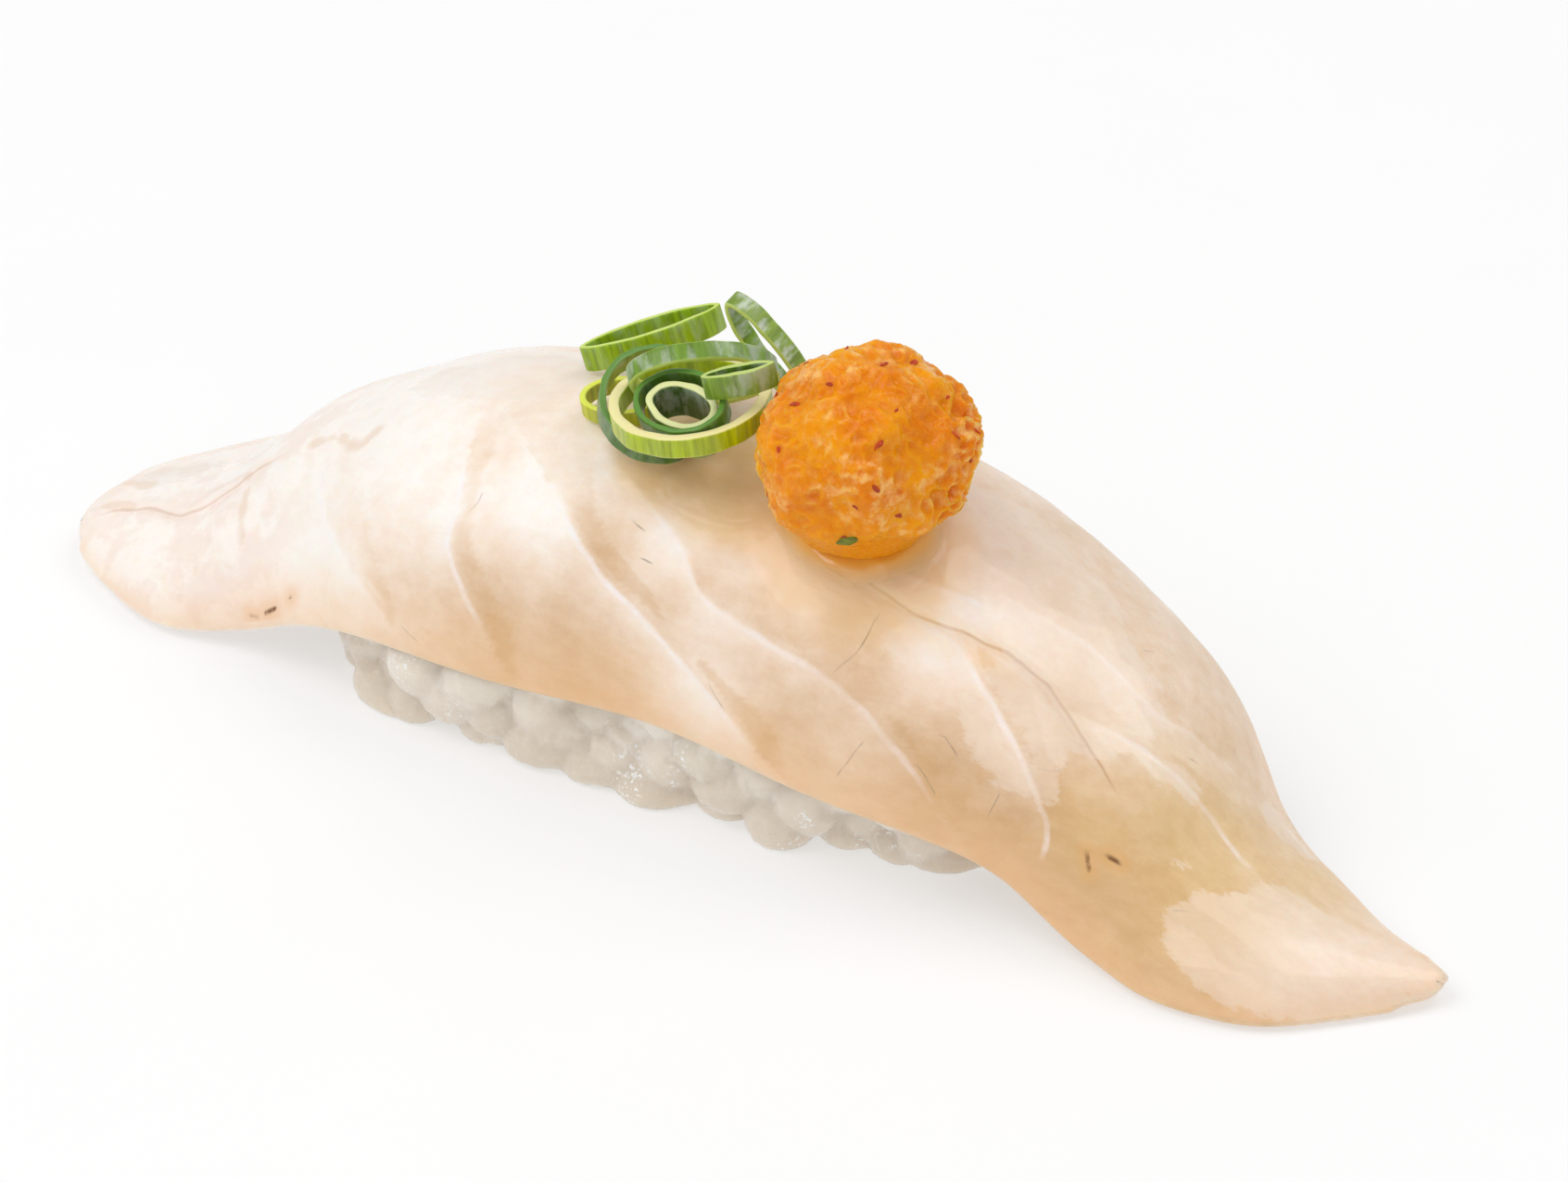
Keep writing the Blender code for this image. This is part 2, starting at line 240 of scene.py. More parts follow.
def stretched(tree, vector, scale, turn=0.0):
    inputs = {"Vector": vector, "Rotation": (0, 0, turn), "Scale": scale}
    return addNode(tree, "ShaderNodeMapping", inputs).outputs[0]


def startGroup(name, inputs, outputs):
    group = bpy.data.node_groups.new(name, "ShaderNodeTree")
    for label, value in inputs.items():
        kind = "NodeSocketVector" if value is None else "NodeSocketFloat"
        socket = group.interface.new_socket(label, in_out="INPUT", socket_type=kind)
        if value is not None:
            socket.default_value = value
    for label in outputs:
        group.interface.new_socket(label, in_out="OUTPUT", socket_type="NodeSocketFloat")
    return group, group.nodes.new("NodeGroupInput").outputs, group.nodes.new("NodeGroupOutput").inputs


def useGroup(tree, group, inputs):
    return addNode(tree, "ShaderNodeGroup", inputs, node_tree=group).outputs


# 1 inside a line's half width, falling to 0 over its softness.
def makeThinLine():
    inputs = {"Distance": 0.0, "Half Width": 0.1, "Softness": 0.2}
    group, given, result = startGroup("thinLine", inputs, ["Mask"])
    edge = add(group, given["Half Width"], given["Softness"])
    fade = mapRange(group, given["Distance"], given["Half Width"], edge, 1.0, 0.0, "SMOOTHSTEP")
    group.links.new(fade, result["Mask"])
    return group


# Cloudy patches: a mask where noise is over a threshold.
def makeSoftPatches():
    inputs = {"Vector": None, "Scale": 400.0, "Detail": 3.0, "Threshold": 0.5, "Softness": 0.1}
    group, given, result = startGroup("softPatches", inputs, ["Mask"])
    cloud = noiseTexture(group, given["Vector"], given["Scale"], given["Detail"], 0.6)
    low = calculate(group, "SUBTRACT", given["Threshold"], given["Softness"])
    high = add(group, given["Threshold"], given["Softness"])
    group.links.new(mapRange(group, cloud, low, high, kind="SMOOTHSTEP"), result["Mask"])
    return group


# Fine streaks, long in one direction: the vector is squeezed before it comes in.
def makeFibres():
    inputs = {"Vector": None, "Scale": 500.0, "Contrast": 0.5}
    group, given, result = startGroup("fibres", inputs, ["Tone", "Height"])
    strands = noiseTexture(group, given["Vector"], given["Scale"], 4.0, 0.65, 0.3)
    tone = multiply(group, calculate(group, "SUBTRACT", strands, 0.5), given["Contrast"])
    group.links.new(add(group, tone, 0.5), result["Tone"])
    group.links.new(strands, result["Height"])
    return group


# A wet surface: roughness that wanders between two values, and faint ripples.
def makeWetFilm():
    inputs = {"Vector": None, "Scale": 300.0, "Smoothest": 0.1, "Roughest": 0.4}
    group, given, result = startGroup("wetFilm", inputs, ["Roughness", "Height"])
    cloud = noiseTexture(group, given["Vector"], given["Scale"], 4.0)
    rough = mapRange(group, cloud, 0.35, 0.65, given["Smoothest"], given["Roughest"])
    ripples = noiseTexture(group, given["Vector"], multiply(group, given["Scale"], 3.0))
    group.links.new(rough, result["Roughness"])
    group.links.new(ripples, result["Height"])
    return group


thinLine = makeThinLine()
softPatches = makeSoftPatches()
fibres = makeFibres()
wetFilm = makeWetFilm()


def lineBand(tree, distance, halfWidth, softness):
    inputs = {"Distance": distance, "Half Width": halfWidth, "Softness": softness}
    return useGroup(tree, thinLine, inputs)["Mask"]


def patchMask(tree, vector, scale, threshold=0.5, softness=0.1, detail=3.0):
    inputs = {
        "Vector": vector, "Scale": scale, "Detail": detail, "Threshold": threshold, "Softness": softness,
    }
    return useGroup(tree, softPatches, inputs)["Mask"]


# Wets a shader with a film, and gives the height of its ripples.
def wetSkin(tree, shader, vector, scale, smoothest, roughest):
    inputs = {"Vector": vector, "Scale": scale, "Smoothest": smoothest, "Roughest": roughest}
    film = useGroup(tree, wetFilm, inputs)
    tree.links.new(film["Roughness"], shader.inputs["Roughness"])
    return film["Height"]


# A material with constant values set on its shader: (tree, shader, object coordinates).
def newMaterial(name, values):
    material = bpy.data.materials.new(name)
    material.use_nodes = True
    tree = material.node_tree
    shader = tree.nodes["Principled BSDF"]
    for key, value in values.items():
        shader.inputs[key].default_value = value
    return material, tree, shader, addNode(tree, "ShaderNodeTexCoord").outputs["Object"]


# Lays (height, distance in mm, strength) bumps one over the other and feeds the shader's normal.
def bumpChain(tree, shader, *heights):
    normal = None
    for height, distance, strength in heights:
        inputs = {"Height": height, "Distance": distance * mm, "Strength": strength}
        if normal is not None:
            inputs["Normal"] = normal
        normal = addNode(tree, "ShaderNodeBump", inputs).outputs[0]
    tree.links.new(normal, shader.inputs["Normal"])


# The slice of fish. A stroke's points are (mm along the slice, degrees from upright, minus in front).

fish = {
    "levels": 3,
    "hubDepth": 10.0,        # mm below the floor, where the degrees are measured from
    "swell": 0.1,            # mm, makes up for the smoothing
    "waveSize": 9.0, "waveHeight": 0.35,
    "dimpleSize": 2.6, "dimpleHeight": 0.07,
    "seamGroove": 0.1,
    "foldHeight": 0.45,
    "paleReach": 3.2,        # mm, how far flesh stays pale beside a seam
    "capReach": 0.12,        # mm from a tip, what is closed to a point
    "tipReach": 2.4, "tipMerge": 0.16, "tipSmoothing": 40,
    "baseTone": 0.42,        # 0 is pearl and 1 deep beige
    "lineWander": 0.18,      # mm, how far thin lines stray from their strokes
    "hemTint": 0.5, "marbling": 0.55,
    "poolAmber": 0.28, "ballAmber": 0.7, "foldAmber": 0.26,
}
fleshTones = [     # place in the ramp, colour
    (0.0, (251, 242, 235)), (0.3, (243, 225, 208)), (0.6, (230, 203, 174)), (1.0, (214, 176, 132)),
]
toneAndShadeBands = [      # how much deeper, mm along from and to, degrees from and to; the bands with degrees are painted shade and light, deeper low in front and paler on top
    (0.13, (-10, 2), None), (0.16, (14, 26), None), (-0.12, (44, 52), None), (-0.3, (-12, -30), None),
    (-0.2, (12, 20), (-22, -8)), (0.16, (-26, -12), (-20, -38)),
]
seams = [          # strength, points
    (0.6, [(-27, -15), (-25, -24), (-22, -30), (-17.5, -36)]),
    (0.7, [(-14, -17), (-13, -23), (-12.5, -28), (-8.5, -35.5)]),
    (1.0, [(-6.5, -18), (-1.5, -24.5), (3.5, -28.5), (8.5, -33), (12, -36.5)]),
    (0.6, [(0.5, -16), (4, -19.5), (6.5, -23.5), (11.5, -25.5), (17, -27), (22, -30.5), (25.5, -35)]),
    (0.8, [(18.5, -16.5), (23, -16), (26, -19), (30, -25), (32.5, -31.5), (32.5, -36)]),
    (0.35, [(27, -6), (31, -5), (35, -6), (37, -3)]),
    (0.7, [(34, -14), (38.5, -12), (42, -15), (44, -17)]),
    (0.5, [(15, -13), (19, -12), (24, -9.5)]),
]
folds = [
    (1.0, [(15.5, -14.5), (20, -15.5), (27.5, -13.5), (32.5, -17.5), (36, -22)]),
    (0.6, [(-47, -29), (-42, -25), (-38, -26), (-35, -19.5), (-30.5, -14)]),
]
goldenRuns = [     # half width in mm, points: where sauce has followed a fold
    (0.5, [(12, -13), (16.5, -15), (21, -16), (26, -14.5)]),
    (0.3, [(4, -15), (8, -15.5), (11, -13)]),
]
veins = [          # strength, points
    (0.9, [(18.5, -17.5), (18, -22.5), (17, -26)]),
    (0.7, [(20, -31), (18.5, -36.5)]),
    (0.9, [(24.5, -26.5), (25, -26.5), (26, -28)]),
    (0.7, [(8.5, -31.5), (10, -34)]),
    (0.9, [(0, -18.5), (1, -19)]),
    (0.9, [(1.5, -22), (2.5, -22)]),
    (0.9, [(23.5, -31), (25, -33)]),
    (0.7, [(29, -29.5), (28.5, -33)]),
    (0.5, [(30.5, -24.5), (32, -23.5), (32.5, -22)]),
    (0.7, [(37.5, -7.5), (38, -6.5)]),
    (0.9, [(41.5, -35), (42.5, -34)]),
    (0.7, [(32, 2), (32.5, 3)]),
    (0.5, [(-11.5, -20), (-11.5, -21.5), (-12, -23)]),
    (0.7, [(-15.5, -37.5), (-14, -38.5)]),
    (0.7, [(13, -14.5), (14, -15.5), (16.5, -16)]),
]
creases = [        # beige lines in the left flap and on the shoulder
    (0.12, [(-47.5, -26), (-43, -25), (-38.5, -26.5), (-38, -21), (-36, -17), (-33, -18)]),
    (0.05, [(-47, -15.5), (-44, -16.5)]),
    (0.05, [(-28.5, -13.5), (-26.5, -13), (-24, -15), (-23, -12.5)]),
    (0.05, [(-35, -36), (-34.5, -41), (-36, -43.5)]),
    (0.05, [(-33, -20), (-32.5, -26), (-30.5, -31.5), (-28, -33)]),
]
pearlPatches = [   # mm along, degrees, reach in mm, strength
    (-7, -19, 4.0, 0.9), (-3, -21, 3.0, 0.35), (3.5, -17.5, 3.5, 0.7), (8.5, -34, 3.0, 0.6),
    (8, -21, 3.5, 0.5), (-12.5, -21, 3.0, 0.8), (-27, -21, 3.5, 0.9), (-41, -32, 5.0, 0.7),
    (-31, -24, 3.0, 0.9), (23, -14, 3.5, 0.8), (29, -20, 2.5, 0.6), (-20, -8, 9.0, 0.7),
    (-8, -8, 7.0, 0.55), (50, -32, 5.5, 0.6), (22, -19, 2.5, 0.8), (-36, -10, 6.0, 0.6), (13, -19, 3.0, 0.5),
]
darkPatches = [    # the same, for deeper beige flesh
    (-8, -36, 4.5, 0.9), (-2, -36, 5.0, 0.7), (-1.5, -22, 2.2, 0.6), (4, -24, 2.0, 0.5),
    (20, -21, 3.0, 0.4), (24.5, -31, 3.5, 0.6), (32, -36, 4.5, 0.9), (36, -38, 5.0, 0.9),
    (42, -30, 5.0, 0.7), (40, -18, 4.0, 0.5), (-8, -30, 3.0, 0.5), (14, -32, 3.5, 0.4),
    (31, -14, 2.5, 0.4), (19, -24, 2.5, 0.4), (28, -27, 2.5, 0.5),
]
olivePatches = [(41, -20, 6.0, 0.9), (43, -33, 6.0, 0.6), (47, -5, 5.0, 0.7), (36, -28, 4.0, 0.6)]
brownSpots = [     # half width in mm, points
    (0.06, [(35.3, -32), (35.5, -33), (35.8, -34.5)]),
    (0.06, [(36.6, -31.3), (37.6, -31.6)]),
    (0.03, [(-28.5, -40.5), (-27.5, -39.3)]),
    (0.0, [(-30, -41.7), (-29.2, -41.5)]),
    (0.0, [(-26.3, -37.3), (-26, -37)]),
]
wetAndSheenPatches = [     # half width in mm, points: where the film of sauce and water shines, with a painted highlight that lightens the colour there
    (4.6, [(20.5, 0), (25, -2.5), (28.5, -7), (31.5, -10)]),
    (0.9, [(23.5, 6), (26, 5.5), (28.5, 5)]),
    (0.9, [(27, -17), (29, -19), (31.5, -21)]),
    (0.8, [(30, -8.5), (32.5, -11), (35.5, -13)]),
    (0.9, [(26, -23), (28, -25.5), (31.5, -27)]),
    (0.7, [(34, -13.5), (36, -13.5), (38, -12.5)]),
    (1.4, [(20.5, -18.5), (23, -17.5)]),
    (3.3, [(45, -37), (48.5, -36), (53, -29)]),
    (2.2, [(46.5, -24), (49, -24), (52, -27)]),
    (1.6, [(54.5, -24), (56, -22)]),
    (0.8, [(41.5, 4), (43, 3.5), (44.5, 3.5)]),
    (-0.2, [(37.8, -30.5), (39.5, -27.5), (41.5, -22.7)]),
    (0.1, [(25, -11.5), (29, -11.5), (31.5, -13.5)]),
    (2.2, [(-44, -8), (-39, 0)]),
    (4.0, [(-20, 1), (-14, 1)]),
]
ballMiddle = (14.6, -5.2, 27.6)
saucePools = [     # mm along, mm across, half length, half width
    (14.4, -5.0, 8.8, 7.8), (6.5, -5.0, 8.0, 5.6), (0.5, -4.6, 5.6, 4.8),
]


# A stroke's points with soft bends between them.
def smoothStroke(points, steps=6):
    points = np.array(points, float)
    ends = np.vstack([2 * points[0] - points[1], points, 2 * points[-1] - points[-2]])
    out = []
    for a, b, c, d in zip(ends, ends[1:], ends[2:], ends[3:]):
        for t in np.arange(steps) / steps:
            curve = (2 * a - 5 * b + 4 * c - d) * t**2 + (3 * b - a - 3 * c + d) * t**3
            out.append(0.5 * (2 * b + (c - a) * t + curve))
    return np.array(out + [points[-1]])


# Degrees from upright about the slice's long axis, and the distance from it in mm.
def leanOf(points):
    height = points[:, 2] + fish["hubDepth"]
    return np.degrees(np.arctan2(points[:, 1], height)), np.hypot(points[:, 1], height)


# Distance in mm to the stroke, the side it is on (1 towards the right end), and the share along it.
def strokeGap(points, stroke):
    lean, reach = leanOf(points)
    here = np.column_stack([points[:, 0], np.radians(lean) * reach])
    gap, side, along = np.full(len(points), 1e3), np.ones(len(points)), np.zeros(len(points))
    path = smoothStroke(stroke)
    for i, (near, far) in enumerate(zip(path, path[1:])):
        a = np.column_stack([np.full(len(points), near[0]), np.radians(near[1]) * reach])
        b = np.column_stack([np.full(len(points), far[0]), np.radians(far[1]) * reach])
        run = b - a
        share = np.clip(((here - a) * run).sum(1) / (run * run).sum(1), 0, 1)
        off = here - a - run * share[:, None]
        distance = np.hypot(off[:, 0], off[:, 1])
        closer = distance < gap
        gap[closer] = distance[closer]
        side[closer] = np.sign(run[:, 0] * off[:, 1] - run[:, 1] * off[:, 0])[closer]
        along[closer] = (i + share[closer]) / (len(path) - 1)
    return gap, side, along


# For thin lines: the nearest stroke's distance, minus on its other side, and its strength.
def lineField(points, strokes):
    side, here = np.full(len(points), 9.0), np.zeros(len(points))
    nearest = np.full(len(points), 1e3)
    for strength, stroke in strokes:
        gap, facing, share = strokeGap(points, stroke)
        closer = gap < nearest
        nearest[closer] = gap[closer]
        side[closer] = (gap * facing)[closer]
        ends = smoothStep(0, 0.1, share) * smoothStep(1, 0.9, share)
        here[closer] = (strength * ends * smoothStep(1.4, 0.7, gap))[closer]
    return side, here


# Distance in mm outside the nearest of (half width, points) strokes, minus inside it.
def nearestEdge(points, strokes):
    return np.min([strokeGap(points, stroke)[0] - half for half, stroke in strokes], axis=0)


def patchSum(points, patches):
    lean, reach = leanOf(points)
    total = np.zeros(len(points))
    for along, degrees, size, strength in patches:
        across = np.radians(lean - degrees) * reach
        far = ((points[:, 0] - along) ** 2 + across**2) / size**2
        total = np.maximum(total, strength * np.exp(-far))
    return total


# How far inside the pool of sauce a place is, from about 0 at its edge to 1.
def sauceDepth(points):
    x, y = points[:, 0], points[:, 1] + 0.5 * noiseAt(points, 2.5, 4.4)
    inside = np.full(len(points), -9.0)
    for along, across, halfLength, halfWidth in saucePools:
        inside = np.maximum(inside, 1 - np.hypot((x - along) / halfLength, (y - across) / halfWidth))
    return inside


# The mask of the thin lines that a line field holds.
def lineMask(tree, name, halfWidth, softness):
    side = calculate(tree, "ABSOLUTE", readAttribute(tree, name + "Side"))
    return multiply(tree, lineBand(tree, side, halfWidth, softness), readAttribute(tree, name + "Here"))


def makeFishMaterial():
    material, tree, shader, place = newMaterial("rawWhiteFish", {
        "Subsurface Weight": 0.55, "Subsurface Radius": (1.0, 0.62, 0.38),
        "Subsurface Scale": 1.6 * mm, "Coat Roughness": 0.07, "Coat IOR": 1.42, "IOR": 1.38,
    })
    mottle = noiseTexture(tree, place, 800.0, 6.0, 0.65)
    mottling = multiply(tree, calculate(tree, "SUBTRACT", mottle, 0.5), 0.42)
    ramp = addNode(tree, "ShaderNodeValToRGB", {"Fac": add(tree, readAttribute(tree, "tone"), mottling)})
    stops = ramp.color_ramp.elements
    stops.remove(stops[1])
    stops[0].color = paint(*fleshTones[0][1])
    for stop, color in fleshTones[1:]:
        stops.new(stop).color = paint(*color)
    olive = layered(tree, ramp.outputs[0], (readAttribute(tree, "olive"), (224, 192, 132)))
    grainwise = stretched(tree, place, (0.35, 1, 1), 0.5)
    strands = useGroup(tree, fibres, {"Vector": grainwise, "Scale": 1100.0, "Contrast": 0.35})
    fleshy = mixColor(tree, 1.0, olive, strands["Tone"], "SOFT_LIGHT")
    marble = patchMask(tree, place, 330.0, softness=0.07, detail=5.0)
    broken = patchMask(tree, place, 900.0, softness=0.2)
    # Wet patches: a stronger coat, and a painted highlight that lightens the colour towards cream
    wobble = noiseTexture(tree, stretched(tree, place, (0.5, 1.4, 1), 0.55), 480.0, 6.0, 0.72)
    wetAndSheenEdge = add(tree, readAttribute(tree, "wetAndSheenEdge"), multiply(tree, wobble, 5.0))
    wetAndPaintedSheen = lineBand(tree, wetAndSheenEdge, 2.3, 0.5)
    creaseEdge = add(tree, readAttribute(tree, "creaseGap"), multiply(tree, marble, 0.7))
    seamShare = add(tree, multiply(tree, marble, 0.4), 0.3)
    veinShare = add(tree, multiply(tree, broken, 0.5), 0.2)
    spotGap = readAttribute(tree, "spotGap")
    color = layered(
        tree, fleshy,
        (multiply(tree, marble, readAttribute(tree, "marbled")), (240, 222, 210)),
        (multiply(tree, lineBand(tree, creaseEdge, 0.05, 0.7), 0.42), (222, 190, 160)),
        (multiply(tree, lineMask(tree, "seam", 0.07, 0.22), seamShare), (250, 242, 242)),
        (multiply(tree, lineMask(tree, "fold", 0.03, 0.12), 0.5), (190, 146, 104)),
        (readAttribute(tree, "amber"), (244, 194, 108)),
        (readAttribute(tree, "hem"), (244, 200, 150)),
        (multiply(tree, lineMask(tree, "vein", 0.015, 0.07), veinShare), (140, 116, 100)),
        (multiply(tree, lineBand(tree, spotGap, 0.0, 1.0), 0.35), (226, 168, 92)),
        (multiply(tree, lineBand(tree, spotGap, -0.04, 0.22), add(tree, broken, 0.25)), (128, 84, 44)),
        # painted highlight: the wet patches lightened towards cream
        (multiply(tree, wetAndPaintedSheen, 0.3), (248, 236, 224)),
    )
    tree.links.new(color, shader.inputs["Base Color"])
    tree.links.new(add(tree, multiply(tree, wetAndPaintedSheen, 0.55), 0.16), shader.inputs["Coat Weight"])
    film = wetSkin(tree, shader, place, 260.0, 0.34, 0.55)
    bumpChain(tree, shader, (strands["Height"], 0.16, 0.4), (mottle, 0.2, 0.35), (film, 0.12, 0.3))
    return material


# Selects what is nearer to the given ends than reach, in mm.
def selectTips(piece, reach, ends):
    points = pointsOf(piece)
    for vert, along in zip(piece.data.vertices, points[:, 0]):
        vert.select = bool(min(abs(along - end) for end in ends) < reach)
    for item in (*piece.data.edges, *piece.data.polygons):
        item.select = False
    bpy.ops.object.mode_set(mode="EDIT")
    bpy.ops.mesh.select_mode(type="VERT")


# Closes the flat caps at the slice's two tips to a point, and rounds the tips.
def smoothTips(piece):
    points = pointsOf(piece)
    ends = [points[:, 0].min(), points[:, 0].max()]
    for end in ends:
        selectTips(piece, fish["capReach"], [end])
        bpy.ops.mesh.merge(type="CENTER")
        leaveEdit()
    selectTips(piece, fish["tipReach"], ends)
    bpy.ops.mesh.remove_doubles(threshold=fish["tipMerge"] * mm)
    bpy.ops.mesh.vertices_smooth(factor=0.5, repeat=fish["tipSmoothing"])
    leaveEdit()


# How thick the slice is under each vertex, in mm.
def thicknessOf(piece, points, normals):
    tree = treeOf(piece)
    thick = np.full(len(points), 9.0)
    for i, (point, normal) in enumerate(zip(points, normals)):
        hit = tree.ray_cast(Vector(point - normal * 0.02) * mm, Vector(-normal))[3]
        if hit is not None:
            thick[i] = hit / mm
    return thick


def makeFish():
    piece = copyNode("fish_slice", "fishSlice", fish["levels"])
    smoothTips(piece)
    points, normals = pointsOf(piece), normalsOf(piece)
    lean = leanOf(points)[0]
    along = points[:, 0]
    top = smoothStep(-0.1, 0.3, normals[:, 2] + 0.35 * np.abs(normals[:, 1]))    # 0 on the underside
    paleness = np.zeros(len(points))
    lift = fish["swell"] + fish["waveHeight"] * noiseAt(points, fish["waveSize"], 3.1) * top
    lift += fish["dimpleHeight"] * noiseAt(points, fish["dimpleSize"], 8.4) * top
    for strength, stroke in seams:
        gap, side, share = strokeGap(points, stroke)
        fade = strength * smoothStep(0, 0.12, share) * smoothStep(1, 0.8, share)
        dark = 1.5 * np.exp(-gap / 0.3) - 0.5 * np.exp(-gap / 2.2)
        pale = strength * np.where(side < 0, np.exp(-gap / fish["paleReach"]), dark)
        paleness = np.where(np.abs(pale) > np.abs(paleness), pale, paleness)
        lift -= fish["seamGroove"] * fade * np.exp(-((gap / 0.5) ** 2)) * top
    for _, stroke in folds:
        gap, side, share = strokeGap(points, stroke)
        fade = smoothStep(0, 0.15, share) * smoothStep(1, 0.85, share)
        step = np.where(side > 0, 0.5, -0.5) * smoothStep(0, 0.35, gap) * np.exp(-gap / 1.4)
        lift += fish["foldHeight"] * step * fade * top
    tone = fish["baseTone"] + 0.12 * noiseAt(points, 6.0, 1.7) + 0.08 * noiseAt(points, 2.0, 5.2)
    # Bands with a span of degrees paint shade low on the front side and light on the top
    for deeper, run, slope in toneAndShadeBands:
        tone += deeper * smoothStep(*run, along) * (1 if slope is None else smoothStep(*slope, lean))
    tone += 0.45 * patchSum(points, darkPatches) - 0.42 * patchSum(points, pearlPatches) - 0.4 * paleness
    ballNear = np.linalg.norm(points - ballMiddle, axis=1)
    golden = nearestEdge(points, goldenRuns) + 0.7 * noiseAt(points, 1.8, 3.7)
    amber = np.max([
        fish["poolAmber"] * smoothStep(0.0, 0.5, sauceDepth(points)),
        fish["ballAmber"] * smoothStep(9.0, 7.1, ballNear),
        fish["foldAmber"] * smoothStep(1.6, -0.3, golden),
    ], axis=0)
    stray = np.column_stack([noiseAt(points, 1.6, 2.0), noiseAt(points, 1.6, 6.0), 0 * along])
    bent = points + fish["lineWander"] * stray
    hidden = 9 * (1 - top)
    store(piece, "tone", np.clip(tone, 0, 1))
    store(piece, "olive", 0.7 * patchSum(points, olivePatches))
    store(piece, "marbled", fish["marbling"] * smoothStep(-24, -31, along) * smoothStep(-49, -44, along))
    store(piece, "hem", fish["hemTint"] * smoothStep(2.2, 1.0, thicknessOf(piece, points, normals)))
    store(piece, "amber", amber * top)
    for name, strokes in (("seam", seams), ("fold", folds), ("vein", veins)):
        side, here = lineField(bent, strokes)
        store(piece, name + "Side", side)
        store(piece, name + "Here", here * top)
    store(piece, "creaseGap", nearestEdge(points, creases) + 0.5 * noiseAt(points, 1.5, 2.6) + hidden)
    store(piece, "spotGap", nearestEdge(points, brownSpots) + hidden)
    # Where the coat is stronger and the painted highlight lightens the colour
    store(piece, "wetAndSheenEdge", np.clip(nearestEdge(points, wetAndSheenPatches), -4, 9) + hidden)
    moveTo(piece, insideBox(points + normals * lift[:, None]))
    finishPiece(piece, makeFishMaterial(), "fish", "fish_slice")
    return piece


# The block of rice: a core, and real grains pressed into its sides and ends

rice = {
    "seed": 11,
    "grainLength": 7.2, "lengthRange": (0.88, 1.06),
    "grainWidth": 4.1, "widthRange": (0.9, 1.12),
    "bulge": 0.16, "taper": 0.12, "flatness": 0.86, "notchDepth": 0.1,
    "rowHeights": (1.2, 3.2, 5.4, 7.5, 9.6, 11.4),
    "pitch": 4.1,
    "sink": 1.75,            # mm, from the CAD grains' surface to a new grain's axis
    "sinkTries": 6, "sinkStep": 0.35,        # a grain that meets the slice is sunk deeper
    "segments": 12, "rings": 9,
    "squareness": 3.2,       # of the block's outline from above
    "coreInset": 1.3, "coreVoxel": 0.55,
    "voxel": 0.27,
    "fishGap": 0.12, "floorGap": 0.02,
    "pittingSize": 1.3, "pittingHeight": 0.06,
}


def makeRiceMaterial():
    material, tree, shader, place = newMaterial("cookedRice", {
        "Subsurface Weight": 0.85, "Subsurface Radius": (1.0, 0.92, 0.8), "Subsurface Scale": 1.8 * mm,
        "Coat Weight": 0.5, "Coat Roughness": 0.12, "IOR": 1.38,
    })
    cloud = multiply(tree, patchMask(tree, place, 260.0, softness=0.2), 0.6)
    starch = mixColor(tree, cloud, paint(240, 232, 220), paint(251, 247, 240))
    # Painted glints: small near-white spots laid into the rice's colour and raised a little by the bump
    glintPatches = patchMask(tree, place, 300.0, 0.6, 0.08)
    paintedGlintSpots = multiply(tree, glintPatches, patchMask(tree, place, 3200.0, 0.58, 0.05))
    color = layered(
        tree, starch,
        (multiply(tree, readAttribute(tree, "tint"), 0.7), (214, 206, 190)),
        # painted shade: the 'low' attribute greys the rice towards the floor
        (readAttribute(tree, "low"), (214, 200, 182)),
        (paintedGlintSpots, (255, 255, 252)),
    )
    tree.links.new(color, shader.inputs["Base Color"])
    film = wetSkin(tree, shader, place, 600.0, 0.14, 0.5)
    bumpChain(tree, shader, (film, 0.25, 0.3), (paintedGlintSpots, 0.1, 0.5))
    return material


# One grain, a millimetre-sized oblong along X with a blunt end and a small notch where the germ was.
def modelGrain():
    selectNone()
    bpy.ops.mesh.primitive_uv_sphere_add(
        segments=rice["segments"], ring_count=rice["rings"], radius=0.5, rotation=(0, math.pi / 2, 0)
    )
    grain = bpy.context.object
    applyPlace()
    points = pointsOf(grain) * mm
    along = points[:, 0]
    fullness = 1 + rice["bulge"] * np.cos(2 * np.pi * along) - rice["taper"] * along
    points[:, 1] *= fullness
    points[:, 2] *= fullness * rice["flatness"]
    notch = np.exp(-(((along + 0.42) / 0.09) ** 2) - ((points[:, 2] - 0.22) / 0.14) ** 2)
    points[:, 2] -= rice["notchDepth"] * notch
    faces = [list(face.vertices) for face in grain.data.polygons]
    bpy.data.objects.remove(grain)
    return points, faces


# (point, outward direction) where the CAD rice's side is met at a share of the way round it.
def riceWall(tree, low, high, share, height):
    half, power = (high - low) / 2, rice["squareness"]
    around = 2 * math.pi * share
    middle = Vector(((low.x + high.x) / 2, (low.y + high.y) / 2, height))
    outward = Vector((math.cos(around), math.sin(around), 0))
    shell = outward * (abs(outward.x / half.x) ** power + abs(outward.y / half.y) ** power) ** (-1 / power)
    normal = Vector((
        math.copysign(abs(shell.x / half.x) ** (power - 1) / half.x, shell.x),
        math.copysign(abs(shell.y / half.y) ** (power - 1) / half.y, shell.y), 0,
    )).normalized()
    start = middle + shell + normal * 4
    hit = tree.ray_cast(start * mm, -normal)[0]
    return None if hit is None else (hit / mm, normal)


